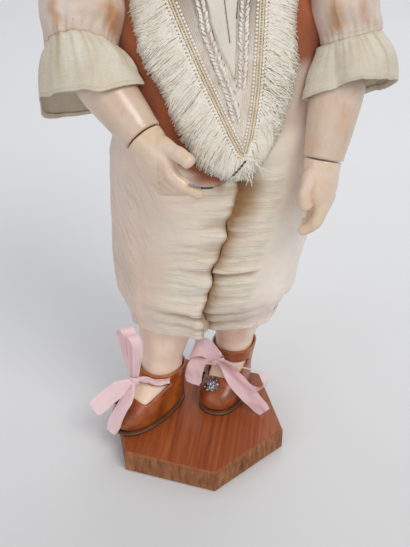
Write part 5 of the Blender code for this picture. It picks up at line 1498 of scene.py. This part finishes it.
def make_ribbons():
    t = np.linspace(0, 1, STRIP_ROWS)
    s = np.linspace(0, 1, 30)
    out = np.sin(np.pi * s) ** 0.8
    for side, mark in SIDES.items():
        way, across = foot_axes(side)
        up = COLLAR_UP - 2.5
        front = SHOE_TOE * shoe_size(up)[0] + 6.0
        knot = np.array([*ANKLE[side], SHOE_FLOOR + up]) + way * front - across * 2.5
        strips = []
        for n, (tip, bulge, wide) in enumerate(LOOPS[side]):
            over, facing, along = axes_along(tip, way)
            aside = bulge * np.sin(2 * np.pi * s) * (0.35 + out * 0.65) + 0.9 * np.cos(np.pi * s)
            path = knot + np.outer(out * np.linalg.norm(tip), along) + np.outer(aside, over)
            width = wide * RIBBON_WIDE * (0.38 + 0.62 * np.sin(np.pi * t) ** 0.5)
            strips.append(strip_grid(path, width, facing + 0.7 * unit(over), 31 + n + side))
        for n, tail in enumerate(TAILS[side]):
            path = np.vstack([knot, knot + np.asarray(tail, float)])
            width = 1.35 * RIBBON_WIDE * (0.3 + 0.7 * smooth(0.0, 0.45, t))
            width = width * (1 - 0.2 * smooth(0.9, 1.0, t))
            flat = np.array([-way[1], way[0], 0.3 * (1 - 2 * n)])
            strips.append(strip_grid(path, width, flat, 41 + n + side))
        if side < 0:
            lie = foot_ring(side, up, -1.7, 80)[1:16:2]
            lie[0] = knot
            width = RIBBON_WIDE * 0.55 * (0.5 + 0.5 * smooth(0.0, 0.3, t))
            strips.append(strip_grid(lie, width, (0, 0, 1), 47))
        strips.append(knot_grid(knot, way, across))
        piece = join_parts("bow_shape_" + mark, [grid_part(grid) for grid in strips], RIBBON)
        dress(piece, "lower_leg_group_" + mark, "ribbon", "shoe_ribbon_" + mark)


# Collar

# Lines on the bodice front, sideways from the body's middle and up from the romper's top: the fringe's
# outer edge, the line between fringe and braid, and the braid's inner edge
FRINGE_OUT = ((-40, 112), (-40.5, 86), (-37, 71), (-34, 58), (-25.5, 45), (-15, 20), (-3, 4), (8, -2),
              (19, -1), (28, 8), (37, 22), (42, 36), (44.5, 46), (44.8, 58), (42, 74), (42, 88), (40, 112))
FRINGE_IN = ((-33, 114), (-21.5, 88), (-15.5, 74), (-9, 59), (-4, 48), (5.5, 28), (11, 16.5), (15, 10),
             (19.5, 9.5), (21.5, 16), (23.5, 28), (25, 42), (25.4, 50), (25.8, 60), (26.2, 74), (26.5, 88),
             (28, 113))
BRAID_IN = ((-14, 117), (-2.5, 89), (1.0, 75), (5.5, 63), (8.5, 57), (10.5, 53), (11.6, 50), (12.2, 50),
            (12.3, 53), (12.4, 57), (12.5, 63), (12.6, 75), (13, 89), (15, 115))
# The two plaits and the panel's two slits
PLAITS = (((-17.2, 116), (-6, 88.5), (-2.6, 74), (2.0, 61), (6, 51), (10, 40), (13.6, 27)),
          ((18.2, 115), (16.4, 89), (16.0, 75), (15.9, 62), (15.8, 52), (15.4, 45)))
SLITS = (((3.5, 112), (6.3, 88), (9.3, 67.5)), ((14.2, 112), (13.0, 90), (12.2, 79)))
THREADS = 900
LINE_STEPS = 260


def on_front(flat_points, lift):
    """Places on the bodice front, from the body middle line and the romper top."""
    lift = np.broadcast_to(lift, len(flat_points))
    return np.array([(CENTRE_X + a, bodice_front(CENTRE_X + a, ROMPER_TOP + b) - h, ROMPER_TOP + b)
                     for (a, b), h in zip(flat_points, lift)])


def front_tube(line, lift, size, count):
    """A thread or cord that lies on the bodice front."""
    return tube_part(on_front(line, lift), size, count, OUTWARD)


def strip_between(first, second, lift, across):
    """Rows of places on the bodice front from one line to another."""
    return np.array([on_front(a + np.outer(np.linspace(0, 1, across), b - a), lift)
                     for a, b in zip(first, second)])


def band_grid(first, second, lift, rows, across):
    return strip_between(curve_through(first, rows), curve_through(second, rows), lift, across)


def fringe_strand(rng, start, stop, layer, loose, bow):
    """One silk thread of the fringe: it leaves the heading, bows and droops to its loose end."""
    s = np.linspace(0, 1, 8)
    side = np.array([-(stop - start)[1], (stop - start)[0]])
    far = np.linalg.norm(side) + 1e-6
    side = side / far
    line = start + np.outer(s, stop - start) + np.outer(np.sin(np.pi * s) * bow * far, side)
    curl = (0.25 + 1.5 * loose) * np.sin(s * rng.uniform(4, 9) + rng.uniform(0, 6)) * s
    line = line + np.outer(curl, side)
    line[:, 1] -= 2.6 * s ** 2
    lift = 1.1 + 0.5 * layer + 0.5 * np.sin(np.pi * s) + rng.uniform(-0.1, 0.3) * s
    size = rng.uniform(0.28, 0.40) * (1 - 0.45 * s ** 2)
    return front_tube(line, lift, size, 4)


def make_fringe():
    """Three layers of threads on a backing, sparser and looser where the fringe is threadbare."""
    rng = np.random.default_rng(5)
    parts = []
    inner = curve_through(FRINGE_IN, THREADS)
    outer = curve_through(FRINGE_OUT, THREADS)
    for layer in range(3):
        for k in range(THREADS):
            loose = float(smooth(0.60, 0.68, k / THREADS) * smooth(0.86, 0.74, k / THREADS))
            if rng.uniform() < 0.5 * loose:
                continue
            flow = float(noise(k / 26.0, layer * 3.3, seed=54))
            slip = int(np.clip(k + 14 * flow + rng.normal(0, 5), 0, THREADS - 1))
            reach = 0.97 + 0.07 * float(noise(k / 9.0, layer * 2.1, seed=55)) + rng.normal(0, 0.035)
            reach = reach * (1 - 0.25 * loose * rng.uniform())
            stop = inner[k] + (outer[slip] - inner[k]) * reach
            bow = 0.16 * float(noise(k / 17.0, layer * 1.7, seed=56)) + rng.normal(0, 0.04 + 0.1 * loose)
            parts.append(fringe_strand(rng, inner[k] + rng.normal(0, 0.2, 2), stop, layer, loose, bow))
    for k in range(26):
        start = np.array([17.5, 8.5]) + rng.normal(0, 1.0, 2)
        stop = start + np.array([rng.uniform(-4, 14), rng.uniform(-13, -3)])
        parts.append(fringe_strand(rng, start, stop, 3, 1.0, rng.normal(0, 0.15)))
    piece = join_parts("collar_fringe", parts, FRINGE)
    grid = band_grid(FRINGE_IN, np.asarray(FRINGE_IN) * 0.1 + np.asarray(FRINGE_OUT) * 0.9, 0.9, 160, 12)
    grid[:, :, 1] += 0.3 * noise(grid[:, :, 0] / 1.6, grid[:, :, 2] / 1.6, seed=51)
    backing = surface("collar_backing", grid, FRINGE)
    dress(backing, "body", "fringe")
    dress(piece, "body", "fringe", "fringe_collar")


def shifted(line, amount):
    """A line moved sideways; places that would fold over at the point are left out."""
    line = curve_through(line, LINE_STEPS)
    way = headings(line)
    moved = line + np.column_stack([-way[:, 1], way[:, 0]]) * amount
    near = np.linalg.norm(moved[:, None] - line[None], axis=2).min(1)
    return moved[near > abs(amount) * 0.96]


def spread(line, step):
    """Places a fixed step apart on a smooth line."""
    fine = curve_through(line, 400)
    return curve_through(fine[::8], max(int(run_along(fine)[-1] / step), 2))


def plait(rng, line, flecks):
    """Slanted puffs of silk in pairs along a line, with brown flecks at both edges."""
    places = spread(line, 1.9)
    way = headings(places)
    side = np.column_stack([-way[:, 1], way[:, 0]])
    puffs = []
    for k in range(len(places)):
        for hand in (-1, 1):
            middle = places[k] + side[k] * hand * rng.uniform(1.1, 1.7)
            middle = middle + way[k] * (0.5 * hand + rng.normal(0, 0.25))
            slant = (way[k] * 1.35 - side[k] * hand * 0.8) * rng.uniform(0.8, 1.25)
            path = [middle - slant, middle - slant * 0.4, middle + slant * 0.4, middle + slant]
            wide = rng.uniform(0.5, 0.85)
            puffs.append(front_tube(path, (1.9, 2.4, 2.4, 1.9), (0.2, wide, wide, 0.2), 6))
            if rng.uniform() < 0.4:
                out = places[k] + side[k] * hand * rng.uniform(2.6, 3.2)
                flecks.append(front_tube([out - way[k] * 0.7, out, out + way[k] * 0.7], 1.95, 0.16, 4))
    return puffs


def make_braid():
    """The braid collar: a band with edge cords, pearls, ribs, plaits and brown flecks."""
    grid = band_grid(FRINGE_IN, BRAID_IN, 1.7, 160, 10)
    grid[:, :, 1] += 0.12 * noise(grid[:, :, 0] / 0.9, grid[:, :, 2] / 0.9, seed=53)
    band = surface("collar_band", grid, SILK)
    dress(band, "body", "braid", "braid_collar")
    first = shifted(FRINGE_IN, 0.9)
    second = shifted(FRINGE_IN, 2.5)
    cords = [front_tube(line, 2.2, 0.5, 8) for line in (first, second)]
    for spot in spread(shifted(FRINGE_IN, 1.7), 1.3):
        near = first[np.argmin(np.linalg.norm(first - spot, axis=1))]
        far = second[np.argmin(np.linalg.norm(second - spot, axis=1))]
        cords.append(front_tube([near, spot, far], 2.15, 0.3, 5))
    pearls = [bead_part(spot, 0.74, 5, 8) for shift in (-0.5, 3.8)
              for spot in on_front(spread(shifted(FRINGE_IN, shift), 1.9), 2.3)]
    flecks = [bead_part(spot, 0.34, 4, 6) for spot in on_front(spread(shifted(FRINGE_IN, -1.5), 1.9), 2.5)]
    ribs = [front_tube(shifted(FRINGE_IN, shift), 1.6, 0.3, 5) for shift in (5.0, 5.9, 6.8, 7.7, 8.6)]
    ribs += [front_tube(shifted(BRAID_IN, shift), 1.9, 0.36, 5) for shift in (-0.3, -6.2)]
    rng = np.random.default_rng(8)
    puffs = [puff for line in PLAITS for puff in plait(rng, line, flecks)]
    for name, parts, look in (("cords", cords, CORD), ("pearls", pearls, PUFF), ("plait", puffs, PUFF),
                              ("ribs", ribs, BRAID), ("flecks", flecks, FLECK)):
        dress(join_parts("collar_" + name, parts, look), "body", "braid")


def make_panel():
    """The cloth inside the collar, with its two beaded slits, each drawn as a dark thread of painted shade
    with dark stitch beads.
    """
    inner = curve_through(BRAID_IN, 140) + (0.0, 0.2)
    grid = strip_between(inner[:70], inner[70:][::-1], 1.4, 16)
    grid[:, :, 1] += 0.3 * noise(grid[:, :, 0] / 5, grid[:, :, 2] / 14, seed=52)
    panel = surface("front_panel", grid, PANEL)
    dress(panel, "body", "insert_cloth", "bodice_insert")
    slits = []
    for line in SLITS:
        # A slit's opening is drawn as a dark thread of painted shade, with dark stitches along it
        slits.append(front_tube(curve_through(line, 60), 1.55, 0.17, 5))
        for k, spot in enumerate(on_front(spread(line, 2.2), 1.9)):
            slits.append(bead_part(spot, 0.2 + 0.1 * (k % 2), 4, 6))
    dress(join_parts("panel_slit", slits, SLIT_SHADE_AND_STITCHES), "body", "insert_cloth")


CHAIN_STEPS = 40
CHAIN_HINT = (0, 1, 0.2)


def chain_link(path, k):
    """One oval link of the chain, every other one turned on edge."""
    across, side, along = axes_along(unit(path[k + 1] - path[k - 1]), CHAIN_HINT)
    if k % 2:
        across, side = side, across
    ring = np.array([path[k] + along * math.cos(a) * 1.0 + across * math.sin(a) * 0.6
                     for a in np.linspace(0, 2 * np.pi, 13)[:-1]])
    rings = tube_rings(np.vstack([ring, ring[:1]]), 0.2, 5, side)[:-1]
    return rings.reshape(-1, 3), loop_faces(12, 5)


def make_chain():
    """The chain from the collar's point to the right forefinger: wire, jet links, silver links at its end."""
    tip = on_front(((18.5, 8.0),), LOOSE + 4.2)[0]
    thumb, palm = hand_axes(-1)[1:]
    stop = finger_path(-1, 3)[2] + thumb * 5.0 - palm * 0.4
    t = np.linspace(0, 1, CHAIN_STEPS + 1)[:, None]
    path = tip * (1 - t) + stop * t - np.array([0, 3.5, 6.0]) * 4 * t * (1 - t)
    chain = join_parts("finger_chain", [tube_part(path, 0.2, 6, CHAIN_HINT)], STEEL)
    links = [chain_link(path, k) for k in range(1, CHAIN_STEPS)]
    beads = join_parts("chain_links", links[:10:2] + links[24:-7:2], JET)
    silver = join_parts("chain_silver", links[-7:], FACET)
    for piece in (beads, silver):
        dress(piece, "body", "chain_metal")
    dress(chain, "body", "chain_metal", "hand_chain")
    across = (stop - tip) * (1.0, 1.0, 0.0)
    for piece in (chain, beads, silver):
        tuple(unit(across))
        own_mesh(piece)
    float(run_along(path)[-1]) * MM


# Head

# Share of the head's height, half width, depth in front and behind
HEAD_ROWS = curve_through(((-0.06, 13.2, 13.2, 13.2), (0.0, 15.5, 20, 14.5), (0.03, 18, 25.5, 16),
                           (0.10, 24, 29, 22), (0.20, 29, 30.5, 29), (0.30, 31.3, 31, 33.5),
                           (0.42, 32, 30.6, 36.5), (0.55, 32, 31.5, 37.5), (0.68, 31, 31.5, 36.5),
                           (0.80, 27.5, 28.5, 32.5), (0.88, 22.5, 23.5, 27), (0.95, 14.5, 15.5, 18),
                           (1.0, 1.5, 1.5, 2.0)), 300)
# Forms of the face: how far out, place and width sideways in mm, place and size upward as shares
FACE_FORMS = ((4.4, 0, 3.2, 0.285, 0.045),  # nose
              (1.3, 3.4, 1.6, 0.262, 0.022),  # its wings
              (1.5, 0, 3.0, 0.37, 0.07),  # its bridge
              (1.5, 0, 5.0, 0.180, 0.016),  # upper lip
              (1.6, 0, 4.2, 0.146, 0.016),  # lower lip
              (1.6, 0, 8.0, 0.05, 0.05),  # chin
              (0.9, 15, 7.0, 0.23, 0.08),  # cheeks
              (-1.9, EYE_OUT, 6.5, EYE_UP, 0.06))  # hollows of the eyes
NECK_STEM = 13.2
HEAD_BACK = 2.0
EYE_AHEAD = 23.2


def head_turns(count):
    """Angles round the head, closer together at the face."""
    turn = turns(count)
    return turn + 0.28 * np.sin(turn)


def head_ring(levels, grow, count, face=True):
    """One ring of the head, grown outward, with or without the face's forms."""
    turn = head_turns(count)
    levels = np.broadcast_to(np.asarray(levels, float), count)
    wide, front, back = [np.interp(levels, HEAD_ROWS[:, 0], HEAD_ROWS[:, k]) + grow for k in (1, 2, 3)]
    c = -np.cos(turn)
    x = -wide * np.sin(turn)
    y = np.where(c < 0, front, back) * signed_power(c, 0.9)
    if face:
        forms = sum(size * bell(np.abs(x), aside, span) * bell(levels, up, tall)
                    for size, aside, span, up, tall in FACE_FORMS)
        y = y - np.where(c < 0, np.abs(c), 0.0) * forms
    return np.column_stack([CENTRE_X + x, NECK_Y - HEAD_BACK + y, HEAD_BASE + levels * HEAD_TALL])


def eye_place(side):
    return np.array([CENTRE_X + side * EYE_OUT, NECK_Y - EYE_AHEAD, HEAD_BASE + EYE_UP * HEAD_TALL])


def eye_tool(side):
    """What cuts the opening for an eye."""
    line = []
    for a in np.linspace(0, 2 * np.pi, 25)[:-1]:
        high = 3.3 * max(math.sin(a), 0) + 2.2 * min(math.sin(a), 0)
        line.append(eye_place(side) + np.array([5.4 * math.cos(a), 0, high - 0.3 * side * math.cos(a)]))
    line = np.array(line)
    return capped("eye tool", np.array([line + (0, -20, 0), line + (0, 6, 0)]), None)


def paint_face(head):
    points = np.array([v.co for v in head.data.vertices]) / MM
    x = np.abs(points[:, 0] - CENTRE_X)
    up = (points[:, 2] - HEAD_BASE) / HEAD_TALL
    ahead = smooth(-8.0, -16.0, points[:, 1] - NECK_Y)
    bow = 0.180 + 0.010 * bell(x, 2.0, 1.2)
    part = x - EYE_OUT
    arch = 0.500 - 0.0007 * part ** 2 + 0.004 * part / 5
    lid = 0.445 - 0.0011 * part ** 2
    lips = bell(x, 0, 5.0, 6) * smooth(0.128, 0.138, up) * smooth(bow + 0.014, bow + 0.004, up) * ahead
    paint(head, "blush", 0.55 * bell(x, 16, 8.0) * bell(up, 0.24, 0.085) * ahead)
    paint(head, "lips", 0.85 * lips)
    paint(head, "brows", 0.8 * bell(part, 0, 7.0, 8) * bell(up, arch, 0.011) * ahead)
    paint(head, "lashes", 0.85 * bell(part, 0, 6.2, 8) * bell(up, lid, 0.006) * ahead)


def make_head():
    middle = np.array([CENTRE_X, NECK_Y, NECK_Z + 9.0])
    count = 128
    turn = head_turns(count)
    spokes = np.column_stack([-np.sin(turn), -np.cos(turn), np.zeros(count)])
    rings = [middle + spokes * NECK_BALL * math.sin(angle) - (0, 0, NECK_BALL * math.cos(angle))
             for angle in np.linspace(0.08, math.asin(NECK_STEM / NECK_BALL), 10)]
    rings += [middle + spokes * 13.0 + (0, 0, 0.5), middle + spokes * 13.1 + (0, 0, 3.0)]
    rings += [head_ring(level, 0.0, count) for level in np.linspace(0.0, CROWN_CUT, 120)]
    rings += [head_ring(CROWN_CUT, -inset, count, False) for inset in (1.6, 3.4)]
    head = capped("head_shape", np.array(rings), FACE)
    cut(head, [eye_tool(side) for side in SIDES])
    paint_face(head)
    dress(head, "head_group", "bisque", "head")
    axes = np.array([(1.0, 0, 0), (0, 0, 1.0), (0, -1.0, 0)])
    for side, mark in SIDES.items():
        place = eye_place(side)
        points, faces = bead_part(place, EYE_RADIUS - 0.05, 40, 48, 1.0, axes)
        eye = make_mesh("eye_shape_" + mark, points, faces, EYE)
        off = np.hypot(points[:, 0] - place[0], points[:, 2] - place[2])
        paint(eye, "iris", np.where(points[:, 1] < place[1], np.clip(1.0 - off / EYE_RADIUS, 0, 1), 0.0))
        dress(eye, "head_group", "eye_glass", "eye_" + mark)
    levels = np.linspace(CROWN_CUT + 0.3 / HEAD_TALL, 0.97, 12)
    rings = [head_ring(level, 0.0, 96, False) for level in levels]
    dress(capped("pate_shape", np.array(rings), CORK), "head_group", "cork", "cork_pate")


def make_wig():
    """A short bob of combed locks with a fringe over the brow."""
    count = 200
    turn = head_turns(count)
    away = (1 - np.cos(turn)) / 2
    edge = 0.62 - 0.50 * smooth(0.10, 0.34, away) - 0.05 * smooth(0.5, 1.0, away)
    edge = edge + 0.012 * noise(turn * 9, seed=61) + 0.008 * noise(turn * 24, seed=62)
    part = -1.2 * bell(turn, np.pi, 0.03)
    outer = []
    inner = []
    for t in np.linspace(0, 0.985, 60):
        level = edge + (1.0 - edge) * t
        puff = 6.5 - 2.0 * smooth(0.3, 1.0, t) + 1.6 * math.sin(math.pi * min(1, t * 1.6))
        puff = puff - 2.6 * (1 - smooth(0.0, 0.09, t))
        ring = head_ring(level, 0.0, count, False)
        ring[:, 2] += 5.6 * smooth(0.45, 0.97, t)
        wave = 0.9 * noise(turn * 8 + 0.8 * math.sin(t * 5), t * 2.0, seed=63)
        wave = wave + 0.45 * noise(turn * 30, t * 3, seed=64)
        spoke = ring[:, :2] - (CENTRE_X, NECK_Y - HEAD_BACK)
        far = np.linalg.norm(spoke, axis=1)
        ring[:, :2] += spoke / (far[:, None] + 3.0) * (puff + wave + part)[:, None]
        ring[:, 2] += (puff - 4.0) * smooth(0.7, 0.98, t) * 0.3
        outer.append(ring)
        inside = head_ring(np.maximum(level, 0.22), 2.4, count, False)
        inside[:, 2] = HEAD_BASE + level * HEAD_TALL + 1.6 * smooth(0.5, 0.97, t) + 0.3
        inner.append(inside)
    piece = surface("wig_shape", np.array(inner[30::-6] + outer), HAIR, True)
    crown = (HEAD_BASE + 0.95 * HEAD_TALL) * MM
    with edited(piece) as work:
        rim = [e for e in work.edges if e.is_boundary and e.verts[0].co.z > crown]
        bmesh.ops.holes_fill(work, edges=rim)
        for face in work.faces:
            face.smooth = True
    dress(piece, "head_group", "hair", "wig")


# Stand, and looks for the solids that stay as they are

def make_stand():
    """The wire post: an eye on the base, then up behind the legs and forward into the pelvis."""
    foot = BASE_THICK + GAP + 1.6
    angles = [math.radians(-250 + 320 * k / 24) for k in range(25)]
    path = [(EYELET_X + EYELET_RADIUS * math.cos(angle), EYELET_Y + EYELET_RADIUS * math.sin(angle), foot)
            for angle in angles]
    path += [(STAND_X + 0.8, 44.8, foot + 0.6), (STAND_X, STAND_Y - 0.5, foot + 3.5),
             (STAND_X, STAND_Y, foot + 8.0), (STAND_X, STAND_Y, STAND_KINK)]
    path += [(CENTRE_X, y, z) for y, z in (
        (STAND_Y, STAND_KINK + 30.0), (STAND_Y, 110.0), (STAND_Y, 160.0), (STAND_Y - 8.0, 174.0),
        (CENTRE_Y + 10.0, 188.0), (CENTRE_Y + 2.0, 198.0), (CENTRE_Y, HIP_Z - 6.0),
        (CENTRE_Y, HIP_Z + 12.0))]
    points, faces = tube_part(curve_through(path, 260), POST_RADIUS, 14, (0, 0, 1))
    dress(make_mesh("post_wire", points, faces, STEEL), "body", "stand_steel", "stand_post")


def finish_nodes():
    """Give the solids that stay in sight their looks."""
    looks = {"base_wood": WOOD, "stand_steel": STEEL, "hook_wire": STEEL, "button_wood": TURNED,
             "composition": SKIN_LEG, "elastic": ELASTIC}
    slots = {part["node"]: part["material_slot"] for part in frame["record"]["subparts"]}
    for name, node in frame["nodes"].items():
        if slots[name] in looks:
            node.data.materials.clear()
            node.data.materials.append(looks[slots[name]])
            if slots[name] != "base_wood":
                node.data.polygons.foreach_set("use_smooth", np.ones(len(node.data.polygons), bool))


for make in (make_camera, make_chain, make_stage, make_romper, make_bodice, make_sleeves, make_arms,
             make_hands, make_legs, make_shoes, make_ribbons, make_fringe, make_braid, make_panel,
             make_head, make_wig, make_stand, finish_nodes):
    make()
